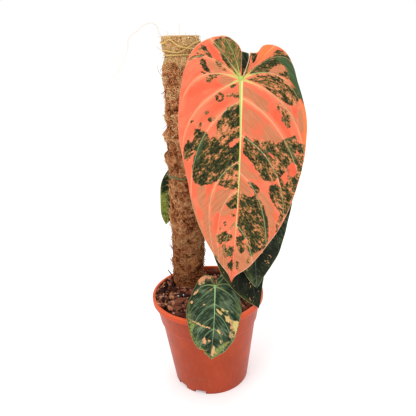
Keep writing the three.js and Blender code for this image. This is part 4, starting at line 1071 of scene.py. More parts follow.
# Leaves, built from the same outlines, veins and bends as the solids
LEAVES = {
    "main": dict(
        knot=(38.5, -31, 327.7), yaw=0, lean=4.72, length=186.7, curl=(0.0055, 0.006),
        bend=((-50, 28), (0, 6), (120, 7), (200, 13)), sinus=((0.1, -12), (4.3, -11)),
        margins=(
            ((-0.4, -23), (-4.4, -29.2), (-13.9, -35.3), (-26.7, -35), (-38.2, -29.4), (-46, -18.5),
             (-51.7, 0.7), (-54.6, 28), (-53.6, 53.1), (-48.5, 76.2), (-44.1, 93.6), (-40.2, 112),
             (-33, 132.1), (-24, 149.9), (-11.9, 168.1), (-3.4, 179), (0, 186.7)),
            ((6.7, -22.4), (13.3, -23), (18.6, -29.5), (29.1, -30.5), (40, -23.9), (46.9, -12.5),
             (51.7, 0.5), (58.8, 15.8), (64, 30.7), (66.1, 46.9), (65.7, 68.1), (61.9, 87.3),
             (55.6, 108.4), (45.8, 131.7), (30.8, 154.1), (16.8, 170.5), (3.6, 180), (0, 186.7)),
        ),
        veins=(
            ((0, -7.6, -21.6, 2.3), (0, -15.6, -20.1, 3.1), (0, -32.5, -18.3, 5.6), (0, -37.9, 0.6, 7.3),
             (0, -40.2, 31.1, 8.8), (18.5, -32.2, 53.6, 10.9), (71.3, -22, 104.8, 13.6),
             (98.8, -13, 120.9, 14), (128, -6.8, 146.5, 14.4)),
            ((0, 7.8, -11.8, 1.5), (0, 16.8, -18.4, 3), (0, 30, -20.2, 5.1), (0, 37.9, -1.6, 8.6),
             (0, 42.9, 23.5, 10), (15.7, 34.5, 41, 11), (47.8, 35.1, 79.2, 12.8),
             (81.5, 22.8, 108.9, 13.9), (131.3, 12.7, 145.4, 14.8)),
        ),
        bow=2.6, rib=2.2, quilt=1.3, wave=1, phase=0.4,
        via=((1, 12, 266), (-1, -8, 282), (9, -22, 303), (26, -25, 322)),
    ),
    "second": dict(
        knot=(49, -11, 321.4), yaw=8, lean=1.6, length=194.9, curl=(0.006, 0.006),
        bend=((-50, 26), (0, 8), (110, 9), (205, 16)), sinus=((-0.5, -14), (0.5, -14)),
        margins=(
            ((-0.8, -27), (-5, -28.5), (-12, -31), (-20, -31), (-29, -25), (-35, -12), (-38, 4),
             (-38.5, 28), (-38, 55), (-37, 82), (-34.5, 108), (-29.5, 132), (-21.5, 157), (-12.3, 176.6),
             (-6, 187.5), (0, 194.9)),
            ((0.8, -22), (8, -26), (18, -25), (28, -19.5), (36, -8), (40.5, 8), (42, 30), (42.5, 55),
             (42.5, 82), (41.3, 108), (36.8, 126.5), (31.8, 144.3), (25.1, 161.1), (16.4, 173.6),
             (7, 184.8), (0, 194.9)),
        ),
        basal=4, lateral=4, bow=0, rib=1.8, quilt=1.1, wave=0.8, phase=2,
        via=((20, 27, 256), (36, 24, 292), (45, 6, 318)),
    ),
    "low": dict(
        knot=(25.3, -20, 213.9), yaw=18, lean=-9.8, length=116.2, curl=(0.008, 0.012),
        bend=((-40, 24), (0, 12), (60, 12), (130, 14)), sinus=((-0.4, -7), (0.4, -7)),
        margins=(
            ((-0.8, -13), (-8, -18), (-17, -16), (-24, -7), (-28, 8), (-29.5, 28), (-29.2, 51.2),
             (-26.6, 70.5), (-20, 88.3), (-12.3, 101.4), (-4.6, 110.4), (0, 116.2)),
            ((0.8, -13), (8, -18), (17, -16), (24, -7), (28, 8), (29.5, 28), (28, 50), (22, 72),
             (14.8, 85.7), (9.6, 96.3), (3.6, 109), (0, 116.2)),
        ),
        basal=3, lateral=3, bow=0, rib=1.4, quilt=0.8, wave=0.4, phase=1,
        via=((21, 10, 172), (26, -2, 200)),
    ),
    "front": dict(
        knot=(7.9, -31, 125.8), yaw=0, lean=7.8, length=78.4, curl=(0.01, 0.01),
        bend=((-30, 72), (-16, 66), (0, 60), (33, 58), (50, 8), (62, -2), (100, -4)),
        sinus=((-0.9, -4.5), (0.9, -4.5)),
        margins=(
            ((-1.5, -8.9), (-7.6, -13.2), (-15.4, -9.6), (-19.4, -1.5), (-23.5, 9.8), (-27.3, 23.3),
             (-26.7, 35.1), (-24, 46.3), (-18.7, 59.4), (-12.6, 67.8), (-7.4, 68.6), (-6.2, 72.1),
             (-2, 76), (0, 78.4)),
            ((1.5, -8), (7, -13.4), (14, -12), (20.5, -5), (25, 5), (27.2, 16.5), (27.3, 25.4),
             (24.7, 36.9), (22.6, 50.2), (19.4, 59.4), (13, 69.1), (4.2, 75.8), (0, 78.4)),
        ),
        veins=(
            ((0, -6, -10.6, 1), (0, -13.4, 0.8, 4.4), (0, -20.6, 23, 6.7), (19.8, -15.8, 34.2, 7.7),
             (33.6, -13, 45.9, 8.6), (44.9, -8, 53.1, 9.2)),
            ((0, 5.7, -7.5, 1.4), (0, 14.8, -3.5, 4.4), (0, 20.2, 12.7, 6.9), (19.6, 18.4, 34.5, 8.2),
             (29.8, 10.3, 38.3, 8.9), (44.3, 8.3, 53.3, 10.1)),
        ),
        bow=0, rib=1.3, quilt=0.9, wave=0.4, phase=0, via=((19, 5, 122), (12, -14, 122)),
    ),
    "rear": dict(
        knot=(-24.3, 63, 217), yaw=0, lean=20.6, length=59, curl=(0.008, 0.008),
        bend=((-30, 20), (0, 10), (80, 10)), sinus=((-0.5, -4.5), (0.5, -4.5)),
        margins=(
            ((-0.9, -8.5), (-6, -12), (-12.5, -8), (-16.6, -1), (-19, 9), (-18.7, 19), (-13.9, 35.3),
             (-9.3, 47.7), (-3.6, 55.5), (0, 59)),
            ((0.9, -8.5), (6, -12), (12.5, -8), (16.6, -1), (18.6, 9), (18.2, 20), (14.5, 32), (8.6, 44),
             (3, 53.5), (0, 59)),
        ),
        basal=3, lateral=3, bow=0, rib=1.2, quilt=0.6, wave=0.4, phase=3,
        via=((18, 40, 200), (6, 62, 220), (-14, 72, 226)),
    ),
}
BLADE_THICKNESS = 0.8
STREAK_SLANT = math.radians(44)  # of the streaks of the colours, away from the midrib
VEIN_BOW = 0.165
FAR = 9.0  # a distance past all that a vein or a rim does
EDGE_RUFFLE = 0.35
VEIN_GROOVE = 0.28
PLEAT = 0.14
PLEATS = 3  # between two veins
HALVES_APART = 400  # keeps the streaks of a blade's halves from matching


def margin_point(margin, place):
    """A point of the outline, at a place counted in its given points."""
    margin = np.asarray(margin, float)
    place = np.clip(np.asarray(place, float), 0, len(margin) - 1)
    i = np.minimum(np.floor(place).astype(int), len(margin) - 1)
    t = (place - i)[..., None]
    last = len(margin) - 1
    p0, p1 = margin[np.maximum(i - 1, 0)], margin[i]
    p2, p3 = margin[np.minimum(i + 1, last)], margin[np.minimum(i + 2, last)]
    v0, v1 = (p2 - p0) / 2, (p3 - p1) / 2
    return (2 * p1 - 2 * p2 + v0 + v1) * t**3 + (-3 * p1 + 3 * p2 - 2 * v0 - v1) * t**2 + v0 * t + p1


def arched_veins(margin, length, basal, lateral):
    last = len(margin) - 1
    first_place, last_basal_place, last_place = 0.1, 0.46, 0.9
    veins = []
    for i in range(basal + lateral):
        step = (i - basal + 1) / (lateral + 1)
        if i < basal:
            start, share = 0, first_place + (last_basal_place - first_place) * i / (basal - 1)
        else:
            start = length * (0.04 + 0.7 * step)
            share = last_basal_place + (last_place - last_basal_place) * step
        x, d = margin_point(margin, last * share)
        slope = np.clip((d - start) / math.hypot(x, d - start) + 0.6, 0, 1)
        bow = np.sign(x) * VEIN_BOW * (0.35 + 0.65 * slope)
        veins.append((start, x / 2 + bow * (d - start), (start + d) / 2 - bow * x, last * share))
    return veins


def rib_offset(leaf, d):
    """How far the midrib bows to one side."""
    t = np.clip(d / leaf["length"], 0, 1)
    return 4 * leaf["bow"] * t * (1 - t)


def arcs_of(leaf, side):
    """Each vein as start, pull across, pull along and place on the margin, from the sinus to the tip."""
    margin = leaf["margins"][side]
    if "veins" in leaf:
        veins = leaf["veins"][side]
    else:
        veins = arched_veins(margin, leaf["length"], leaf["basal"], leaf["lateral"])
    rows = [(0, *leaf["sinus"][side], 0), *veins, (leaf["length"], 0, leaf["length"], len(margin) - 1)]
    arcs = []
    for start, via_x, via_d, place in rows:
        x, d = margin_point(margin, place)
        pull_x = 2 * via_x - (rib_offset(leaf, start) + x) / 2
        pull_d = 2 * via_d - (start + d) / 2
        arcs.append((start, pull_x, pull_d, place))
    return np.array(arcs)


def row_points(leaf, side, k, b):
    """Across and along the blade, for places k between the veins and b along them."""
    arcs = arcs_of(leaf, side)
    i = np.minimum(np.floor(k).astype(int), len(arcs) - 2)
    share = (k - i)[..., None]
    start, pull_x, pull_d, place = np.moveaxis(arcs[i] * (1 - share) + arcs[i + 1] * share, -1, 0)
    end = margin_point(leaf["margins"][side], place)
    x = (1 - b) ** 2 * rib_offset(leaf, start) + 2 * (1 - b) * b * pull_x + b * b * end[..., 0]
    d = (1 - b) ** 2 * start + 2 * (1 - b) * b * pull_d + b * b * end[..., 1]
    return x, d


def bend_table(leaf):
    bend = np.array(leaf["bend"], float)
    d = np.arange(bend[0, 0], bend[-1, 0] + 1)
    angle = np.radians(np.interp(d, bend[:, 0], bend[:, 1]))
    y = -np.concatenate([[0], np.cumsum(np.sin(angle))[:-1]])
    z = -np.concatenate([[0], np.cumsum(np.cos(angle))[:-1]])
    rest = int(np.argmin(np.abs(d)))
    return d, y - y[rest], z - z[rest], angle


def blade_point(leaf, x, d, h):
    """A point h in front of the blade's middle sheet, in place."""
    table, y, z, angle = bend_table(leaf)
    d = np.clip(d, table[0], table[-1])
    y, z, angle = (np.interp(d, table, v) for v in (y, z, angle))
    curl = np.where(x < 0, leaf["curl"][0], leaf["curl"][1])
    out = h - (1 - np.cos(curl * x)) / curl
    local = np.stack([np.sin(curl * x) / curl, y - np.cos(angle) * out, z + np.sin(angle) * out], -1)
    yaw = Matrix.Rotation(math.radians(leaf["yaw"]), 3, "Z")
    lean = Matrix.Rotation(math.radians(leaf["lean"]), 3, "Y")
    return local @ np.array(yaw @ lean).T + np.array(leaf["knot"])


def polygon_depth(pixels, outline):
    """How many pixels inside an outline each point lies; outside it is negative."""
    outline = np.asarray(outline, float)
    after = np.roll(outline, -1, axis=0)
    nearest = np.full(len(pixels), 1e9)
    inside = np.zeros(len(pixels), bool)
    for p, q in zip(outline, after):
        edge = q - p
        share = np.clip(((pixels - p) @ edge) / (edge @ edge), 0, 1)
        nearest = np.minimum(nearest, np.linalg.norm(pixels - p - share[:, None] * edge, axis=1))
        crosses = (p[1] > pixels[:, 1]) != (q[1] > pixels[:, 1])
        at = p[0] + (pixels[:, 1] - p[1]) * edge[0] / (edge[1] if edge[1] else 1e-9)
        inside ^= crosses & (pixels[:, 0] < at)
    return np.where(inside, nearest, -nearest)


def marks_on(pixels, marks):
    """The depth inside a set of marks, each (amount, outline), and the amount of the deepest."""
    depth = np.full(len(pixels), -12.0)
    amount = np.zeros(len(pixels))
    for value, outline in marks:
        here = polygon_depth(pixels, outline)
        amount = np.where(here > depth, value, amount)
        depth = np.maximum(depth, here)
    return depth, amount


def soft_marks(pixels, marks):
    """The amounts of the marks added up, each fading out at its outline."""
    total = np.zeros(len(pixels))
    for value, outline in marks:
        total += value * smoothstep(polygon_depth(pixels, outline), -1.3, 1.5)
    return np.clip(total, -1, 1)


# Dark green marks on the coral blade: how much of each is flecked, and its outline in pixels
GREEN_MARKS = (
    (0.3, ((276.6, 106.6), (279.6, 106), (281, 109), (278.6, 111))),
    (0.4, ((286.8, 120.4), (290, 121.6), (290.4, 127.6), (287.8, 128.4))),
    (0.3, ((281.6, 116.4), (284.6, 118.6), (284.4, 123), (282, 121))),
    (0.3, ((189.6, 121), (192.4, 119.6), (193.4, 121.6), (190.6, 123.4))),
    (0.3, ((198, 125.4), (201, 122.6), (202, 125), (199.4, 127.6))),
    (0.78, ((219, 118), (224, 116), (230, 120), (232, 124), (228, 130), (224, 138), (219.5, 146),
            (218.6, 140), (216.6, 131), (217, 124))),
    (0.5, ((224, 113), (240.2, 113), (240.2, 138), (234, 139), (229, 143), (225, 146), (220, 149),
           (222, 144), (226, 136), (230, 128), (231, 122), (226, 118))),
    (0.5, ((281, 185), (288, 185), (288.6, 192), (290, 203), (286, 212), (281, 222), (276.6, 232),
           (274.6, 231), (277.6, 222), (280, 214), (278, 205), (283, 198))),
    (0.35, ((217, 236), (222, 232), (227, 231), (226.6, 236), (222.6, 238), (224, 242), (220, 244),
            (217, 242))),
    (0.4, ((225, 235.6), (231.6, 235), (232, 239), (228, 241), (225, 239))),
    (0.5, ((230.6, 229), (232, 225), (235, 222.6), (235, 225), (232.6, 229))),
    (0.6, ((222.5, 246), (225, 243), (226, 248), (230, 246.6), (233.6, 246), (234, 250), (230, 253),
           (226, 257.6), (223.6, 256))),
    (0.25, ((236.4, 242), (240, 241), (244, 246), (245, 250), (242, 254), (238.4, 250))),
    (0.25, ((250, 74.6), (250, 72), (254, 68), (262, 62.5), (270, 57), (276, 55.5), (284, 58), (287, 63),
            (281, 65), (275, 65), (271, 68), (266, 73), (258, 74))),
    (0.42, ((213.6, 40.6), (222, 36.6), (230, 37.8), (237, 44), (241.6, 53), (242.5, 62), (240, 72),
            (238.6, 78), (234, 71), (226, 60), (219, 50.6), (214, 44.6))),
    (0.05, ((278, 55), (286, 57), (292, 64), (297, 74), (301, 84), (304, 94), (306.4, 104.6),
            (303, 103.4), (299.6, 97), (295, 88), (291.4, 79), (288.6, 70), (284, 62))),
    (0.72, ((279.5, 105.7), (284.7, 108.3), (289, 113.5), (289.9, 121.3), (288.2, 128.3), (285.6, 126.5),
            (283.8, 117), (280.3, 110.9))),
    (0.30, ((215.4, 40.3), (222.2, 44.4), (228.7, 50.9), (232.8, 59.6), (236.2, 70.1), (237.6, 78.8),
            (234.6, 73.6), (230.2, 64.9), (224.8, 56.2), (219.6, 49.6), (215.7, 44.8))),
    (0.55, ((222.6, 36.8), (229.2, 37.4), (236.2, 41.8), (240.1, 48.7), (242.3, 55.3), (241.8, 64.9),
            (238.9, 75.3), (237, 71), (234.6, 56.2), (231.8, 49.2), (227.4, 43.9), (223.5, 39.6))),
    (0.40, ((219.6, 50), (224.8, 56.2), (229.2, 63.1), (232.7, 70.1), (228.3, 67.5), (223.1, 60.5),
            (220, 55.3))),
    (0.10, ((215.2, 60), (219.6, 61.8), (222.6, 65.3), (220.9, 66.2), (217, 63.6))),
    (0.15, ((201.3, 44.8), (204.8, 45.7), (209.1, 51.8), (212.6, 56.2), (211.7, 58.3), (206.5, 54.8),
            (203, 50), (200.4, 47))),
    (0.35, ((196.9, 55.3), (200.4, 54), (204.3, 54.8), (202.2, 57), (197.8, 57.2))),
    (0.06, ((202.2, 57.9), (205.6, 60), (206.5, 64.9), (211.3, 72.3), (208.7, 72.7), (204.8, 71),
            (201.7, 66.6), (199.4, 61.4))),
    (0.25, ((200.4, 71), (206.1, 72.7), (204.8, 74), (201.7, 73.2))),
    (0.50, ((206.1, 76.2), (210.9, 74.5), (217, 73.6), (223.9, 74.9), (217.8, 77.1), (210.9, 78.8),
            (208.7, 81.9), (207, 78.8))),
    (0.35, ((189.1, 60.5), (194.7, 57.9), (192.1, 60.5), (189.9, 61.2))),
    (0.45, ((230.2, 86.5), (233.2, 83.8), (236.8, 84.6), (234.6, 87.4), (231.2, 88.4))),
    (0.45, ((215.2, 96.3), (219.4, 91.8), (223.9, 93.6), (223.9, 99), (219.6, 101.9), (215.7, 100.6))),
    (0.62, ((196.4, 52), (199, 48.4), (202.4, 46.4), (201.6, 52), (198.6, 56.6))),
    (0.55, ((188.8, 60.4), (191.7, 56.4), (196.7, 54.6), (196, 57.6), (191.4, 61))),
    (0.45, ((215, 59.5), (219.6, 61.6), (223.6, 67.5), (228, 71.6), (222, 69.4), (217.4, 65.6))),
    (0.7, ((205.6, 79.4), (209.4, 76), (213.6, 79), (210, 82.4), (207.4, 82))),
    (0.2, ((249, 53.4), (252.2, 52.8), (249.6, 62), (247, 73), (244.4, 76), (246.4, 64))),
    (0.12, ((252.2, 53), (257.6, 53.6), (255.6, 61), (253.4, 63.6), (251.4, 58.6))),
    (0.75, ((226.1, 92.8), (232.7, 94.1), (238.6, 91), (239.9, 98), (231.8, 97.1), (227, 96.3))),
    (0.30, ((222.5, 113), (224.8, 111.1), (228.3, 107.6), (240, 101.5), (240.5, 120.5), (238.6, 126.6),
            (231.8, 131.8), (228.3, 129.2), (231.8, 123.1), (228.3, 120.5), (224.8, 117.8),
            (221.5, 116.8))),
    (0.55, ((207.4, 117.8), (214.4, 116.1), (216.1, 118.7), (210.9, 122.2), (208.7, 121.3))),
    (0.80, ((204.2, 112.4), (207.6, 110.6), (209.6, 112.4), (205.6, 115.2))),
    (0.22, ((206.5, 131.8), (211.7, 136.2), (218.7, 138.8), (219.6, 144.9), (224.8, 144.9),
            (231.8, 147.5), (240.2, 140.5), (240, 158.8), (224.8, 170.2), (217, 180.6), (210.9, 184.1),
            (200.4, 185.9), (193.4, 181.5), (192.1, 171), (193.4, 158.8), (196.9, 147.5),
            (202.2, 137.1))),
    (0.84, ((217, 136.2), (224.8, 130.1), (231.8, 125.7), (239.6, 130.1), (231.8, 138.8), (224.8, 144.9),
            (219.6, 144.9), (218.7, 138.8))),
    (0.35, ((194.3, 129.2), (198.7, 128.3), (204.8, 131.8), (205.2, 134), (197.8, 147.5), (193.4, 153.6),
            (187.3, 160.6), (183.8, 158.8), (183.8, 147.5), (188.2, 139.6), (191.7, 143.1),
            (194.3, 135.3))),
    (0.55, ((224.8, 170.2), (239.9, 161.4), (239.7, 179.7), (238.6, 189.3), (230.1, 189.8),
            (223.1, 186.7), (217.8, 185), (219.6, 179.7), (217.8, 178.9))),
    (0.12, ((225.7, 204.8), (231.8, 197), (239.1, 190.9), (237, 208.3), (231.8, 208.7), (228.3, 207.4))),
    (0.50, ((273.4, 53.1), (277.1, 49.6), (282.4, 50.5), (287.6, 54.4), (293.3, 62.3), (293.7, 68.4),
            (288.5, 61.4), (282.4, 57), (277.1, 56.2), (273.6, 56.2))),
    (0.42, ((252.7, 73.6), (256.2, 68.4), (264.1, 64.9), (271.9, 60.5), (280.6, 57), (286.2, 60),
            (290.4, 68.4), (293.6, 79.4), (296.6, 88), (301.6, 97.5), (305, 106), (301.5, 99.7),
            (295.4, 89.3), (291.1, 82.3), (287.6, 78.8), (280.6, 75.3), (270.2, 73.6), (261.4, 73.6),
            (252.7, 74.9))),
    (0.55, ((247.5, 79.7), (254.5, 81.4), (263.2, 85.8), (271.9, 92.8), (280.6, 99.7), (288.5, 105),
            (297.2, 105.8), (298.1, 99.7), (301, 98.6), (297.2, 91), (291.1, 84.1), (283.2, 78.8),
            (276.3, 76.2), (263.2, 75.3), (254.5, 77.1))),
    (0.80, ((279.8, 101.8), (285.4, 107.6), (290.2, 115.2), (289.2, 121.8), (286.6, 118.4),
            (283.6, 111.2), (279.2, 106.4))),
    (0.60, ((286.2, 124.2), (289.6, 125.7), (288.6, 128.6), (286.4, 127))),
    (0.40, ((243.1, 143.1), (244.9, 135.3), (251, 139.6), (257.1, 147.5), (265.8, 157.1), (271.9, 165.8),
            (278.9, 176.3), (272.8, 182.4), (263.2, 179.7), (259.7, 176.3), (254.5, 165.8),
            (248.4, 158.8), (243.1, 153.6))),
    (0.52, ((251, 137.9), (261.4, 141.4), (270.2, 140.5), (276.3, 144.4), (283.2, 139.6), (289.3, 137.9),
            (295.4, 135.3), (298.1, 143.1), (305, 144.9), (303.3, 162.3), (302.4, 169.3), (297.2, 184.1),
            (293.7, 200.5), (284.1, 200.5), (280.6, 185), (276.3, 171), (271, 164.1), (264.9, 155.3),
            (257.1, 146.6))),
    (0.25, ((267.5, 185.8), (276.3, 184.1), (280.6, 188.5), (278, 197.2), (271.9, 197.2), (269.3, 191.1))),
    (0.25, ((244.9, 180.6), (252.7, 182.4), (259.7, 188.5), (258.8, 193.7), (254.5, 192), (250.1, 185.8))),
    (0.38, ((239.9, 195.2), (242.3, 193.5), (250.1, 197.8), (256.2, 194.4), (259.7, 199.6),
            (264.1, 207.4), (266.7, 216.2), (268.4, 226.6), (268.4, 238.8), (264.9, 247.5),
            (257.1, 252.8), (250.1, 256.3), (248.4, 251), (244, 246.7), (240.5, 254.5), (236.2, 245.8),
            (236.2, 237.1), (243.1, 235.3), (237, 228.4), (238.3, 216.2))),
    (0.50, ((268.4, 192.6), (278.9, 190.9), (295.4, 190), (292, 201.3), (288.5, 210.9), (284.1, 216.2),
            (280.6, 213.5), (274.5, 204.8), (271, 199.6))),
    (0.30, ((230, 216.2), (232.7, 212.7), (235.3, 216.2), (231.8, 217))),
    (0.50, ((217, 242.3), (217.8, 235.3), (224.8, 231.9), (231.8, 235.3), (231.8, 240.6), (224.8, 241.4),
            (221.3, 244))),
    (0.40, ((223.5, 251), (228.3, 248.4), (234.4, 250.2), (232.7, 254.5), (224.8, 258))),
    (0.06, ((227.4, 264.1), (231.8, 258.9), (233.5, 262.4), (231.8, 271.1), (228.3, 268.5))),
    (0.25, ((236.2, 258.9), (238.8, 262.4), (237.9, 271.1), (236.2, 270.2))),
    (0.70, ((246.4, 259), (249.2, 257.6), (249.8, 262.4), (247, 264.4))),
    (0.55, ((276.3, 229.2), (279.8, 231), (278, 234.5), (275.6, 233.4))),
    (0.10, ((213.9, 252.8), (216.1, 253.6), (217.8, 258.9), (216.5, 258.9), (214.8, 256.3))),
    (0.60, ((219.3, 228.9), (221.6, 226.4), (222.6, 229.8), (220.2, 231))),
    (0.60, ((223.6, 221.9), (225.8, 220.8), (226.6, 224.2), (224.4, 226.2))),
)
# Coral spots inside the green ones
CORAL_MARKS = (
    (0.0, ((268.2, 73), (272, 67.5), (276, 65.2), (282, 65.1), (286.5, 69.8), (283, 72), (280, 72),
           (278.6, 74.6), (274, 74.4))),
    (0.0, ((206.7, 133), (209, 140), (211, 137), (213, 136), (215.5, 139), (217.5, 130), (216, 124),
           (212.4, 120))),
    (0, ((217.8, 96.4), (219.9, 94.5), (221.6, 96), (221, 98.6), (218.8, 99.4))),
    (0, ((249.6, 61.4), (252.8, 62.4), (253, 66.6), (249.8, 72.4), (248.4, 68))),
    (0, ((207.8, 130.9), (213.5, 123.9), (217.8, 130.9), (217.8, 137.9), (212.6, 136.2), (209.6, 140.1))),
    (0, ((229.6, 144.9), (232.7, 140.5), (238.3, 139.6), (237, 143.1), (231.8, 147.5))),
    (0, ((287.2, 166.7), (292.8, 161.4), (297.2, 165.8), (297.2, 174.5), (292, 177.1), (287.6, 173.6))),
    (0, ((268.4, 151.8), (274.5, 156.2), (273.6, 158.8), (268.4, 155.3))),
    (0, ((281.5, 174.5), (286.7, 171), (288.5, 179.7), (284.1, 185), (281.5, 179.7))),
    (0, ((296.3, 148.4), (298.9, 153.6), (298.1, 157.1), (296.3, 153.6))),
    (0, ((259.7, 180.6), (266.7, 181.5), (275.4, 182.4), (269.3, 185.8), (266.7, 190.2), (261.4, 187.6))),
    (0, ((242.4, 239.8), (245.4, 238.4), (247.6, 241.6), (245.2, 244.6), (242.8, 243.4))),
)
# Parts of the coral where it is dull and tan, half see-through (above 0), or deeper and redder (below 0)
# On the green marks, below 0 gives a painted grey-green sheen.
TONE_MARKS = (
    (0.75, ((184, 190), (190, 194), (197, 214), (206, 238), (218, 262), (231, 276), (229, 278),
            (214, 263), (200, 240), (190, 216))),
    (0.6, ((203, 216), (214, 222), (216, 244), (222, 262), (228, 272), (219, 262), (209, 244), (204, 230))),
    (0.7, ((245, 262), (250, 256), (258, 251), (268, 240), (274, 232), (270, 243), (260, 256), (246, 268),
           (238, 274), (238, 268))),
    (-0.8, ((206.4, 132.4), (206.6, 137), (203.6, 143), (201.6, 150), (199, 160), (195, 161),
            (195.6, 152), (199, 143), (203, 137))),
    (-0.8, ((285, 139.6), (288, 141), (292, 149), (296, 158), (295, 161), (291, 155), (287, 146))),
    (0.9, ((217, 38), (230, 37), (238, 44), (242, 54), (241, 68), (237, 74), (233, 66), (228, 58),
           (221, 52), (216, 45))),
    (-1.0, ((277, 55.5), (284, 57), (291, 63), (296, 72), (299, 82), (303, 94), (306.4, 104.6),
            (302, 103), (296, 92), (291, 82), (287.6, 73), (283, 65), (277, 60))),
    (1.0, ((268.4, 73.2), (272.8, 67.5), (277.1, 64.9), (283.2, 65.7), (287.6, 70.1), (280.6, 73.6),
           (274.5, 75.3))),
    (1.0, ((217, 79.7), (224.8, 75.3), (233.5, 78.8), (231.8, 83.2), (225.7, 85.8), (219.6, 83.2))),
    (0.95, ((243.6, 87), (250.1, 89), (259.7, 96.3), (268.8, 102.6), (268.4, 113.7), (259.7, 107.5),
            (251, 100.5), (244.4, 95.3))),
    (0.55, ((243.1, 106), (250, 108), (262, 118), (272, 128), (284, 141), (272, 143.4), (262, 141),
            (253, 138), (244, 131))),
    (0.5, ((208, 60), (217, 63), (224, 71.5), (214, 73), (208.6, 72.2), (206.8, 66))),
    (0.6, ((276, 103), (284, 104), (294, 114), (297.5, 124), (288, 118), (280, 109))),
    (0.7, ((297, 112), (302, 109), (304.4, 130), (300.5, 134))),
    (0.75, ((217, 128), (222, 122), (232, 119), (237.6, 124), (237, 136), (226, 132), (219, 140),
            (215, 138))),
    (0.6, ((205, 194), (228, 190), (236.4, 193), (225, 205), (218, 213), (212, 208), (208, 200))),
    (0.9, ((219.8, 212), (228, 207.6), (236.4, 207.6), (230, 213.6), (222, 217))),
    (0.85, ((197, 186.5), (202, 184.6), (206.4, 188), (204, 206), (203.6, 214), (198.6, 203))),
    (0.95, ((204, 216), (207, 201), (210.6, 190.6), (212.6, 189), (208.4, 206), (208, 226), (212, 245),
            (207, 236))),
    (0.75, ((219, 190), (231, 188.6), (227, 197), (219, 207), (213, 220), (211, 214), (214, 200))),
    (0.45, ((239.3, 158), (246, 164), (256, 175), (266, 180.5), (271, 182), (262, 180.3), (247, 178.5),
            (239, 176))),
    (0.9, ((238.6, 177), (246, 184), (252.6, 193.5), (246, 197), (240.6, 191), (238, 184))),
    (0.7, ((258, 192), (264, 193), (273, 207), (276, 226), (271, 239), (266.6, 224), (264, 206))),
    (0.75, ((236, 248), (243, 247), (258, 253), (247, 262.6), (238.6, 268), (233, 268), (234.6, 258))),
    (0.6, ((212, 250), (222, 246), (229, 258), (228.6, 270), (224, 268), (217, 260))),
    (-0.9, ((207, 43.6), (212, 45), (219, 55), (223.6, 64), (216, 60), (211, 52.6))),
    (-0.8, ((190, 88), (199, 83.4), (210, 80.6), (217, 82), (226, 86), (214, 88.6), (202, 91), (190, 98),
            (187, 97))),
    (-0.7, ((196, 124), (205, 110), (215, 104), (226, 101.4), (233, 100), (224, 107), (214, 113),
            (206, 121))),
    (-0.9, ((271, 112), (279, 108), (284, 118), (289, 130), (293, 140), (288, 139.6), (281, 128),
            (274, 119))),
    (-0.9, ((292, 107), (297, 108.6), (298, 114), (294, 114.6))),
    (-1.0, ((287.2, 166.7), (292.8, 161.4), (297.2, 165.8), (297.2, 174.5), (292, 177.1), (287.6, 173.6))),
    (-0.9, ((265, 150), (271, 152), (273, 157), (268, 157))),
    (-0.8, ((213, 215), (217, 211), (221, 214), (220, 224), (216, 233), (213, 231))),
    (-0.7, ((266.6, 229), (270, 226), (271, 236), (264, 243), (265, 236))),
    (-0.8, ((226, 254), (232, 250), (234, 252), (230, 257), (226, 256.6))),
    (-0.7, ((205.6, 186), (211.6, 181), (214, 184), (210, 198), (208, 206), (206.6, 199))),
)

# The green blades: first the clear patches, each with how warm its colour is, then the flecked zones
FRONT_PATCHES = (
    (0.7, ((193.2, 293.6), (197.6, 289), (198.8, 290), (196.6, 293.5), (194, 295.2))),
    (1.0, ((209.6, 288.8), (211.8, 288.6), (212, 290.4), (210.2, 290.8))),
    (0.95, ((197.4, 280), (200.6, 276.6), (206, 275.8), (210.6, 276.3), (211.2, 278.6), (206.4, 278.8),
            (203, 281), (199.2, 283.4))),
    (0.6, ((203.2, 304.4), (205.8, 302.6), (206.2, 304), (204.4, 305.6))),
    (0.7, ((190.8, 301.4), (192.6, 301), (192.8, 303.8), (191.2, 304))),
    (0.35, ((216.6, 309), (220.2, 310.6), (223.6, 314.2), (221.2, 315.2), (217.8, 312))),
    (0.3, ((221, 308), (228.6, 311.4), (228, 312.8), (221.6, 309.8))),
    (0.4, ((224.8, 316), (228.4, 316), (231, 320.5), (229.3, 323.6), (226.4, 321.2))),
    (0.1, ((233.4, 321), (238.7, 321.6), (238.1, 327.5), (235.6, 334), (233.6, 330))),
    (0.6, ((188.8, 318.9), (194.1, 320.9), (203.5, 325.4), (212, 328.2), (211.7, 329.2), (203, 327),
           (193.4, 322.6))),
    (0.55, ((216.2, 328.6), (221, 332), (221.4, 334.6), (217.6, 332))),
    (0.8, ((202.3, 339.3), (205, 337.5), (206.8, 341.6), (204.6, 344.2), (202.4, 342.6))),
    (0.7, ((208.2, 339.9), (210.6, 340.2), (209.8, 342), (208, 341.8))),
    (0.5, ((219.3, 337.4), (221.4, 339.4), (222, 343.6), (220.6, 343))),
    (0.55, ((212.6, 344.5), (215, 345.6), (214.8, 352), (212.2, 357.6), (211.2, 353))),
)
FRONT_FLECKS = (
    (0.62, ((197, 281), (205, 274.6), (213.6, 277), (214, 283), (206, 284), (199, 285.6))),
    (0.5, ((222.5, 309), (229.6, 314), (233.4, 320), (235, 330), (232, 338), (227.6, 338), (230.6, 330),
           (228, 322))),
    (0.62, ((230, 319.9), (239, 321.6), (238.1, 327.5), (235.8, 338), (229, 339), (230.6, 330))),
    (0.45, ((205, 344), (212, 347), (228, 341), (231, 342), (222, 352), (211, 359), (205.6, 351))),
    (0.35, ((200, 338), (208, 335), (214, 340), (210, 346), (202, 346))),
    (0.3, ((187, 296), (191, 293), (194, 298), (189, 306))),
)
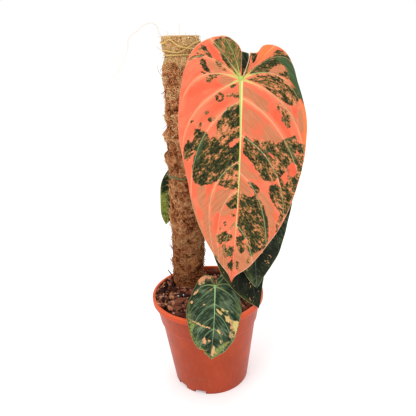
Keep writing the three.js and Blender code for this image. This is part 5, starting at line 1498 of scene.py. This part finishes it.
FRONT_YELLOW = (
    (0.95, ((188.4, 321), (193, 321.6), (195.4, 324), (192.6, 329), (191, 334), (189.4, 328))),
    (0.3, ((187.6, 299), (190, 298), (190.6, 312), (191, 320), (187.4, 318))),
    (0.55, ((190, 330), (193.6, 336), (199, 345), (205, 350), (211, 357.4), (207, 357), (199, 349),
            (191, 338))),
    (0.75, ((212, 359), (222, 351), (230.6, 341), (233, 337), (231.6, 341), (224.6, 343), (213, 352))),
    (0.2, ((236.8, 300), (241.6, 300), (241.6, 318), (238.6, 322), (236, 314))),
)
SECOND_PATCHES = (
    (0.8, ((250.4, 60), (253, 61.4), (253.3, 68), (251, 71), (249.8, 66))),
    (0.3, ((243.4, 68.4), (245.2, 69), (244.8, 74), (243.2, 75.6))),
)
SECOND_FLECKS = (
    (0.6, ((267, 252), (273, 250), (271.6, 261), (267, 267), (265.4, 260))),
    (0.5, ((245, 264), (250.4, 266), (249, 276), (245.6, 273))),
    (0.42, ((256, 240), (264, 236), (267, 246), (262, 256), (257, 250))),
)
SECOND_YELLOW = (
    (0.15, ((243, 263), (247, 262), (254, 283), (251, 285))),
)
LOW_PATCHES = (
    (0.9, ((249.8, 298.2), (251.4, 298), (251.4, 300), (250, 300.4))),
)
LOW_FLECKS = (
    (0.3, ((247, 285), (252, 283), (252.6, 291), (248.4, 292))),
)
LOW_YELLOW = (
    (0.1, ((216, 264), (219, 262), (236, 291), (256, 303), (255, 306), (233, 295))),
)
REAR_YELLOW = (
    (0.8, ((159, 196), (168, 190), (169, 226), (160, 222))),
    (0.5, ((158, 168), (162, 168), (161.4, 210), (158, 200))),
)
ALL_GREEN = ((0.0, ((-999, -999), (1400, -999), (1400, 1400), (-999, 1400))),)


def coral_ground(f, vein, tone, warm, broad, streaks):
    """Coral that is paler by the veins, tan where the tone is high and deeper where it is negative."""
    halo = f.step(f.plus(vein, f.scaled(broad, -2.5, 2.5)), 4.0, 0.2)
    light = f.mix(halo, (246, 116, 82), (252, 150, 108))
    light = f.mix(f.times(f.step(broad, 0.42, 0.62), 0.6), light, (250, 138, 102))
    light = f.mix(f.times(f.step(streaks, 0.5, 0.72), 0.28), light, (226, 98, 70))
    light = f.mix(warm, light, f.mix(streaks, (255, 120, 62), (255, 146, 84)))
    uneven = f.times(f.scaled(f.plus(broad, broad), -1.7, 0.5), f.step(tone, 0.02, 0.4))
    dull = f.plus(tone, uneven, clamp=True)
    tan = f.mix(f.step(streaks, 0.25, 0.75), (190, 120, 80), (218, 144, 102))
    light = f.mix(f.times(dull, 0.85), light, tan)
    return f.mix(f.times(tone, -0.8, clamp=True), light, (246, 98, 66))


def coral_marks(f, dark, vein, tone, fleck, ragged, mottle, streaks):
    """Green with tan and coral flecks, olive where the tone is high and an even grey-green with a painted
    sheen where it is negative.
    """
    olive = f.mix(f.step(mottle, 0.4, 0.62), (84, 98, 44), (134, 138, 72))
    dark = f.mix(f.times(f.step(tone, 0.78, 0.88), 0.7), dark, olive)
    fringe = f.times(f.step(f.plus(vein, f.scaled(ragged, -5, 5)), 3.0, 0.8), 0.4)
    dark = f.mix(fringe, dark, (84, 102, 72))
    dark = f.mix(f.step(fleck, 0.58, 0.70), dark, (134, 104, 56))
    dark = f.mix(f.step(fleck, 0.71, 0.78), dark, (206, 130, 84))
    fleck_colour = f.mix(f.step(mottle, 0.38, 0.6), (236, 140, 96), (238, 148, 106))
    dark = f.mix(f.step(fleck, 0.78, 0.84), dark, fleck_colour)
    # Painted sheen: an even grey-green where the tone is negative.
    plain_painted_sheen = f.mix(f.step(streaks, 0.2, 0.8), (52, 74, 40), (88, 108, 70))
    return f.mix(f.times(tone, -1.0, clamp=True), dark, plain_painted_sheen)


def green_marks_of(f, dark, tone, fleck, mottle, streaks):
    """Green that turns yellow with the tone and carries peach flecks."""
    yellow = f.times(tone, f.step(mottle, 0.36, 0.56))
    dark = f.mix(yellow, dark, f.mix(streaks, (128, 146, 48), (186, 190, 96)))
    fleck_colour = f.mix(f.step(mottle, 0.4, 0.6), (170, 150, 88), (228, 168, 122))
    return f.mix(f.step(fleck, 0.77, 0.83), dark, fleck_colour)


def leaf_finish(name, shades, coral):
    """A blade's skin, marked by the numbers on its points; shades are its dark colours and its vein's."""
    f = Finish(name, specular_ior_level=0.09, subsurface_weight=0.03)
    f.shader.inputs["Subsurface Radius"].default_value = (0.004, 0.0015, 0.0008)
    place = f.place()
    flow = f.vector("flow")
    vein, tone, warm = f.number("vein"), f.number("tone"), f.number("warm")
    small = f.noise(f.stretch(flow, 1, 0.42, 1), 1.6, 3, 0.64)
    speck = f.plus(small, f.scaled(f.noise(place, 1.4, 2), -0.22, 0.22))
    speck = f.plus(speck, f.scaled(f.noise(f.stretch(flow, 1, 0.5, 1), 6, 3, 0.6), -0.5, 0.5))
    ragged = f.noise(f.stretch(flow, 1, 0.5, 1), 2.2, 5, 0.7)
    broad = f.noise(place, 14, 2)
    streaks = f.noise(f.stretch(flow, 1, 0.1, 1), 1.7, 3)
    mottle = f.noise(place, 2.6, 6, 0.74)
    depth = f.plus(f.number("green"), f.scaled(ragged, -3.2, 3.4))
    strays = f.times(f.step(depth, -4.5, -0.8), f.step(speck, 0.66, 0.70))
    green = f.math("MAXIMUM", f.step(depth, -0.2, 0.25), f.times(strays, f.number("stray")))
    fleck = f.plus(speck, f.times(f.number("fleck"), 0.31 if coral else 0.38))
    deep, middle, pale_green, line_green = shades
    if coral:
        light = coral_ground(f, vein, tone, warm, broad, streaks)
        dark = f.ramp(mottle, (0.38, deep), (0.5, middle), (0.66, pale_green))
        dark = coral_marks(f, dark, vein, tone, fleck, ragged, mottle, streaks)
    else:
        light = f.mix(warm, (208, 206, 122), (238, 156, 116))
        light = f.mix(f.times(f.step(mottle, 0.5, 0.66), 0.6), light, (226, 178, 122))
        # Painted sheen: lighter streaks of noise along the veins' way.
        fine = f.noise(f.stretch(flow, 1, 0.16, 1), 1.5, 4, 0.62)
        sheen = f.plus(f.times(fine, 0.6), f.times(broad, 0.4))
        dark = f.ramp(sheen, (0.38, deep), (0.5, middle), (0.66, pale_green))
        dark = green_marks_of(f, dark, tone, fleck, mottle, streaks)
    base = f.mix(green, light, dark)
    near_knot = f.step(f.number("knot"), 26, 2)
    widening = f.times(f.times(near_knot, near_knot), 0.7 if coral else 0.3)
    line = f.plus(vein, f.scaled(f.noise(place, 3, 2), -0.15, 0.15))
    line = f.math("SUBTRACT", line, widening)
    pale = f.mix(green, (255, 190, 146), line_green)
    pale = f.mix(f.times(near_knot, 0.9 if coral else 0.6), pale, (222, 228, 124))
    base = f.mix(f.times(f.step(line, 1.3, 0.3), 0.13), base, pale)
    base = f.mix(f.times(f.step(line, 0.46, 0.2), 0.8 if coral else 0.5), base, pale)
    rim_colour = (255, 212, 172) if coral else (190, 190, 126)
    base = f.mix(f.times(f.step(f.number("edge"), 0.85, 0.45), 0.75), base, rim_colour)
    back = f.mix(0.35, base, (206, 140, 112) if coral else (112, 96, 72))
    base = f.mix(f.number("front"), back, base)
    f.bump(f.noise(f.stretch(flow, 1, 0.2, 1), 1.4, 3), 0.16, 0.3)
    f.bump(f.cells(place, 0.8), 0.08, 0.12)
    return f.done(base, f.scaled(f.noise(place, 5, 3), 0.40, 0.62))


def rib_finish(name, left, right, tip):
    """A midrib whose halves differ in colour and fade to another towards the tip."""
    f = Finish(name, roughness=0.45, specular_ior_level=0.2, subsurface_weight=0.08)
    f.shader.inputs["Subsurface Radius"].default_value = (0.002, 0.002, 0.001)
    place = f.place()
    streak = f.noise(f.stretch(place, 1, 1, 0.1), 0.9, 3)
    side = f.step(f.plus(f.number("side"), f.scaled(streak, -0.25, 0.25)), -0.15, 0.15)
    f.bump(streak, 0.25, 0.2)
    far = f.step(f.number("along"), 0.55, 0.95)
    return f.done(f.mix(far, f.mix(side, left, right), tip))


def blade_grid(leaf, side, per_gap, columns):
    """Places k, counted in veins, and b along them, where they lie, and their way to a vein and the rim."""
    gaps = len(arcs_of(leaf, side)) - 1
    ks, bs = np.linspace(0, gaps, gaps * per_gap + 1), np.linspace(0, 1, columns)
    k, b = np.meshgrid(ks, bs, indexing="ij")
    x, d = row_points(leaf, side, k, b)
    near = np.clip(np.round(k), 0, gaps)
    vein_x, vein_d = row_points(leaf, side, near, b)
    edge_x, edge_d = row_points(leaf, side, k, np.ones_like(b))
    sinus_x, sinus_d = row_points(leaf, side, np.zeros_like(k), b)
    vein = np.where((near > 0) & (near < gaps), np.hypot(x - vein_x, d - vein_d), FAR)
    edge = np.where(k < 0.999 * gaps, np.hypot(x - edge_x, d - edge_d), FAR)
    edge = np.minimum(edge, np.where(k < 1.5, np.hypot(x - sinus_x, d - sinus_d), FAR))
    return k, b, x, d, vein, edge


def blade_wave(leaf, side, k, b):
    return leaf["wave"] * b * b * np.sin(1.9 * k + side * 1.3 + leaf["phase"])


def blade_relief(leaf, side, k, b, x, d, vein):
    """How far the blade stands forward: quilted between the veins, waved, pleated and ruffled."""
    gaps = len(arcs_of(leaf, side)) - 1
    between = np.sin(math.pi * (k - np.floor(np.minimum(k, gaps - 1e-6))))
    spread = np.sin(math.pi * np.minimum(0.999, b)) ** 0.7
    quilt = leaf["quilt"] * np.abs(between) ** 0.8 * spread
    ruffle = EDGE_RUFFLE * b**5 * np.sin(7.3 * k + 2 * (side * 1.3 + leaf["phase"]))
    groove = VEIN_GROOVE * bell(vein, 0.7) * (b < 0.98)
    pleat = PLEAT * np.sin(TURN * PLEATS * k) * spread * smoothstep(np.hypot(x, d), 8, 30)
    return quilt + blade_wave(leaf, side, k, b) + ruffle - groove + pleat


def streak_flow(leaf, side, k, x, d):
    """Coordinates across and along the streaks of the colours."""
    arcs = arcs_of(leaf, side)
    after = np.minimum(np.floor(k).astype(int), len(arcs) - 2) + 1
    lateral = arcs[after, 0] > 1
    out, down = math.sin(STREAK_SLANT), math.cos(STREAK_SLANT)
    across = np.where(lateral, d * out - np.abs(x) * down, k * leaf["length"] / 10)
    along = np.where(lateral, np.abs(x) * out + d * down, np.hypot(x, d))
    return np.stack([across + HALVES_APART * side, along, 0 * k], -1)


def shell_faces(rows, columns, flip):
    """Faces of a front and a back sheet that are joined all round; flip turns them over."""
    size = rows * columns
    faces = []
    for front in grid_faces(rows, columns):
        back = [i + size for i in front]
        faces.append(front if flip else front[::-1])
        faces.append(back[::-1] if flip else back)
    border = (list(range(columns)) + [i * columns + columns - 1 for i in range(1, rows)]
              + [(rows - 1) * columns + j for j in range(columns - 2, -1, -1)]
              + [i * columns for i in range(rows - 2, 0, -1)])
    for i, j in zip(border, border[1:] + border[:1]):
        wall = [i, i + size, j + size, j]
        faces.append(wall if flip else wall[::-1])
    return faces


def make_blade(name, leaf, marks, material, per_gap, columns):
    """A blade with rows between its veins, columns along them, and numbers for its skin at each point."""
    green_marks, patches, flecks, tones, warms = marks
    parts = {}
    faces, count = [], 0
    for side in (0, 1):
        k, b, x, d, vein, edge = blade_grid(leaf, side, per_gap, columns)
        h = blade_relief(leaf, side, k, b, x, d, vein)
        half = BLADE_THICKNESS / 2 * (1 - 0.45 * b**3)
        front = blade_point(leaf, x, d, h + half)
        back = blade_point(leaf, x, d, h - half)
        pixels = to_pixels(front.reshape(-1, 3))
        green, fleck = marks_on(pixels, green_marks)
        clear, warm = marks_on(pixels, patches)
        values = dict(
            green=np.minimum(green, -clear), fleck=fleck + soft_marks(pixels, flecks),
            tone=soft_marks(pixels, tones), warm=warm + soft_marks(pixels, warms),
            vein=vein.ravel(), edge=edge.ravel(), knot=np.hypot(x, d).ravel(),
            flow=streak_flow(leaf, side, k, x, d).reshape(-1, 3),
        )
        for sheet, facing in ((front, 1.0), (back, 0.0)):
            values.update(points=sheet.reshape(-1, 3), front=np.full(k.size, facing))
            for key, value in values.items():
                parts.setdefault(key, []).append(value)
        faces.extend([i + count for i in face] for face in shell_faces(len(k), columns, side == 1))
        count += 2 * k.size
    numbers = {key: np.concatenate(values) for key, values in parts.items()}
    points, flow = numbers.pop("points"), numbers.pop("flow")
    numbers["stray"] = np.full(count, 1.0 if name == "main" else 0.0)
    return add_piece(f"leaf_{name}", points, faces, material, [f"blade_{name}"], numbers,
                     {"flow": flow}, merge=0.02)


def make_rib(name, leaf, material, slot):
    """The midrib on both faces, the raised veins behind, and the knot where the petiole meets the blade."""
    pile = Pile()
    d = np.linspace(-1.5, leaf["length"] * 0.985, 90)
    share = np.clip(d, 0, None) / leaf["length"]
    width = leaf["rib"] * (0.52 * np.exp(-7 * share) + 0.5 * (1 - 0.62 * share))
    middle = rib_offset(leaf, d)
    centre = blade_point(leaf, middle, d, np.zeros_like(d))
    ahead = blade_point(leaf, middle, d, np.ones_like(d)) - centre
    across = blade_point(leaf, middle + 0.01, d, np.zeros_like(d)) - centre
    across /= np.linalg.norm(across, axis=1)[:, None]
    sides = 16
    rings, side_values = [], []
    for j in range(sides):
        angle = j / sides * TURN
        out = np.cos(angle)
        lift = np.sin(angle)
        depth = np.where(lift > 0, 0.30, 0.62) * width + 0.40
        rings.append(centre + across * (out * width)[:, None] + ahead * (lift * depth)[:, None])
        side_values.append(np.full(len(d), out))
    points = np.stack(rings, 1).reshape(-1, 3)
    faces = tube_faces(len(d), sides)
    pile.add(points, faces, side=np.stack(side_values, 1).ravel(), along=np.repeat(share, sides))
    for side in (0, 1):
        arcs = arcs_of(leaf, side)
        for k in range(1, len(arcs) - 1):
            b = np.linspace(0.0, 0.97, 36)
            x, dd = row_points(leaf, side, np.full_like(b, k), b)
            line = blade_point(leaf, x, dd, blade_wave(leaf, side, k, b) - VEIN_GROOVE - 0.3)
            size = leaf["rib"] * 0.30 * (1 - 0.8 * b) + 0.12
            points, faces = tube(line, size, 6)
            pile.add(points, faces, side=(2 * side - 1.0), along=0.6)
    bead = BALL_FINE * np.array([1.35, 1.0, 1.35]) * leaf["rib"] * 0.85
    bead = bead + blade_point(leaf, np.zeros(1), np.full(1, -0.4), np.full(1, 0.1))
    pile.add(bead, BALL_FINE_FACES, side=-1.0, along=0.0)
    return pile.piece(f"rib_{name}", material, slot)


def make_petiole(name, leaf, material):
    girth = 2.2 * (leaf["rib"] / LEAVES["main"]["rib"]) ** 0.4
    back = BLADE_THICKNESS / 2 + 0.8 * leaf["rib"]
    zero = np.zeros(1)
    behind = [blade_point(leaf, zero, zero, zero - back - reach)[0] for reach in (4, -0.4)]
    start = on_stem(NODES[name])
    path = spline([start, *leaf["via"], *behind], 120)
    t = np.linspace(0, 1, 120)
    radius = girth * (1.35 - 0.5 * smoothstep(t, 0, 0.35))
    radius = radius * (1 + 0.12 * smoothstep(t, 0.93, 1))
    angles = round_turn(18)
    groove = 1 - 0.10 * bell(np.mod(angles, TURN) - math.pi, 0.5)[None] * smoothstep(t, 0.1, 0.3)[:, None]
    pile = Pile()
    pile.add(*tube(path, radius[:, None] * groove, 18))
    return pile.piece(f"stalk_{name}", material, "stem_skin", [f"petiole_{name}"])


# Loose fibres at the top of the pole and on its sides: pixels, the depth they hang at, thickness
WHISKERS = (
    (((161.2, 36.6, 14), (158.7, 32.1, 12), (156.8, 26.4, 8), (151, 22.9, 0), (144.6, 24.8, -8),
      (138.3, 30.2, -18), (128.7, 38.5, -34), (127.7, 50.6, -48), (125.5, 55.7, -54), (119.1, 67.2, -66),
      (112, 78, -76)), 0.34),
    (((119.5, 70, -66), (117.8, 82, -70), (116.9, 92.1, -74)), 0.26),
    (((179, 37, 13), (179.4, 30, 13), (179, 23, 14)), 0.34),
    (((185.5, 38, 13), (185.8, 35, 12), (185, 31.6, 12)), 0.3),
    (((195.5, 37, 18), (196.2, 34, 18), (195, 31.4, 18)), 0.3),
    (((165, 38, 16), (168, 33, 16), (166, 31, 15)), 0.3),
    (((169, 38, 14), (172, 34, 14), (176, 33.4, 14)), 0.28),
    (((162, 52, 20), (157, 57, 18), (155.6, 62, 16)), 0.28),
    (((163, 122, 20), (156, 130, 17), (152, 134, 14)), 0.28),
    (((162, 140, 20), (157, 152, 18), (156, 160, 14)), 0.28),
    (((164, 170, 20), (158, 176, 17), (154, 178, 12)), 0.26),
    (((203, 246, 24), (208, 254, 20), (210.5, 260, 15)), 0.3),
    (((205, 240, 24), (209.5, 243, 20), (212, 249, 16)), 0.28),
)


def make_whiskers(material):
    pile = Pile()
    for seed, (stops, thickness) in enumerate(WHISKERS):
        path = spline([from_pixel(x, y, 1, depth) for x, y, depth in stops], 12 * len(stops))
        sway = 0.25 * np.sin(np.arange(len(path)) * 0.9 + seed)[:, None] * np.array([1, 0.5, 0.4])
        taper = thickness * (0.5 - 0.2 * np.linspace(0, 1, len(path)))
        points, faces = tube(path + sway, taper, 5)
        pile.add(points, faces, tone=0.85)
    return pile.piece("loose_fibres", material, "coir")


# Stage. A light: name, place, watts, size, in metres
LIGHTS = (
    ("key", (-0.8, -1.3, 2.0), 15, 0.7),
    ("fill", (1.3, -1.1, 0.9), 3, 1.2),
    ("back", (0.4, 1.4, 1.5), 4, 1.0),
)
LIGHTS_AIM = (0, 0, 0.2)
FLOOR_REACH = 30  # metres


def make_stage():
    world = bpy.data.worlds.new("studio")
    bpy.context.scene.world = world
    world.use_nodes = True
    world.node_tree.nodes["Background"].inputs["Color"].default_value = (1, 1, 1, 1)
    world.node_tree.nodes["Background"].inputs["Strength"].default_value = 1.0
    mesh = bpy.data.meshes.new("floor")
    corners = [(FLOOR_REACH * x, FLOOR_REACH * y, 0) for x, y in ((-1, -1), (1, -1), (1, 1), (-1, 1))]
    mesh.from_pydata(corners, [], [[0, 1, 2, 3]])
    f = Finish("pale_floor", roughness=1.0, specular_ior_level=0.0, emission_strength=0.2)
    f.shader.inputs["Emission Color"].default_value = (1, 1, 1, 1)
    base = f.mix(f.noise(f.place(), 90, 2), (0.86, 0.86, 0.86, 1), (0.88, 0.88, 0.88, 1))
    mesh.materials.append(f.done(base))
    floor = new_object("floor", mesh)
    for name, place, power, size in LIGHTS:
        data = bpy.data.lights.new(name, "AREA")
        data.energy = power
        data.size = size
        light = new_object(name, data)
        light.location = place
        light.rotation_euler = (Vector(LIGHTS_AIM) - Vector(place)).to_track_quat("-Z", "Y").to_euler()
    bpy.context.scene.view_settings.view_transform = "Standard"


# Marks where the coral turns to orange
WARM_MARKS = (
    (1.0, ((300.6, 100), (305, 104), (309, 128), (309, 150), (303.6, 172), (301, 160), (303, 135),
           (302, 115))),
    (0.9, ((258.6, 50), (263, 45), (270, 43.4), (277, 46.4), (271, 53.6), (264, 59.4), (257, 64))),
)


# Dark shades of each blade's skin, from deep to pale, and its veins' colour; on the green blades the pale
# one is a painted sheen
SHADES = {
    "main": ((22, 27, 14), (44, 50, 26), (80, 82, 42), (188, 186, 128)),
    "second": ((18, 22, 13), (36, 44, 27), (84, 94, 66), (104, 120, 84)),
    "low": ((12, 14, 8), (25, 29, 17), (46, 52, 32), (64, 76, 50)),
    "front": ((20, 34, 22), (52, 70, 48), (126, 144, 110), (158, 190, 136)),
    "rear": ((18, 26, 10), (38, 48, 16), (74, 80, 28), (104, 114, 60)),
}
# Colours of each midrib: its two halves and its tip
RIB_COLOURS = {
    "main": ((188, 208, 106), (240, 234, 156), (206, 162, 130)),
    "second": ((104, 140, 118), (120, 152, 128), (98, 126, 106)),
    "low": ((72, 88, 60), (72, 88, 60), (64, 80, 54)),
    "front": ((158, 196, 130), (172, 204, 142), (214, 168, 130)),
    "rear": ((126, 142, 88), (126, 142, 88), (126, 142, 88)),
}
# Each blade's marks (green, patches clear of it, flecks, tones, warmth), slot, rows a gap and columns
BLADES = (
    ("main", (GREEN_MARKS, CORAL_MARKS, (), TONE_MARKS, WARM_MARKS), "coral_leaf", 16, 90),
    ("second", (ALL_GREEN, SECOND_PATCHES, SECOND_FLECKS, SECOND_YELLOW, ()), "green_leaf", 10, 60),
    ("low", (ALL_GREEN, LOW_PATCHES, LOW_FLECKS, LOW_YELLOW, ()), "green_leaf", 10, 44),
    ("front", (ALL_GREEN, FRONT_PATCHES, FRONT_FLECKS, FRONT_YELLOW, ()), "green_leaf", 20, 64),
    ("rear", (ALL_GREEN, (), (), REAR_YELLOW, ()), "green_leaf", 8, 28),
)


def make_leaves():
    stalk = stem_finish("stalk_skin", (112, 124, 62), (152, 156, 88), (170, 106, 72))
    for name, marks, slot, per_gap, columns in BLADES:
        leaf = LEAVES[name]
        coral = name == "main"
        skin = leaf_finish("coral_skin" if coral else f"{name}_skin", SHADES[name], coral)
        make_blade(name, leaf, marks, skin, per_gap, columns)
        make_rib(name, leaf, rib_finish(f"{name}_rib", *RIB_COLOURS[name]), slot)
        make_petiole(name, leaf, stalk)


make_camera()
make_stage()
make_pot(pot_finish())
make_soil(soil_finish())
bark = bark_finish()
make_crumbs(crumb_finish())
make_perlite(perlite_finish())
make_bark_chips(bark)
make_splinters(wood_finish(), bark)
coir_fibre = coir_finish("coir_fibre", True)
make_coir_mat(coir_finish("coir_ground", False))
for lot in FIBRE_LOTS:
    make_coir_fibres(*lot, coir_fibre)
make_soil_fibres(coir_fibre)
make_whiskers(coir_fibre)
make_twine(twine_finish())
make_wire(wire_finish())
make_stem(stem_finish("stem_skin", (98, 100, 52), (140, 132, 74), (132, 92, 58)))
make_leaves()
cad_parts["pole_core"].data.materials.clear()
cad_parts["pole_core"].data.materials.append(wood_finish())
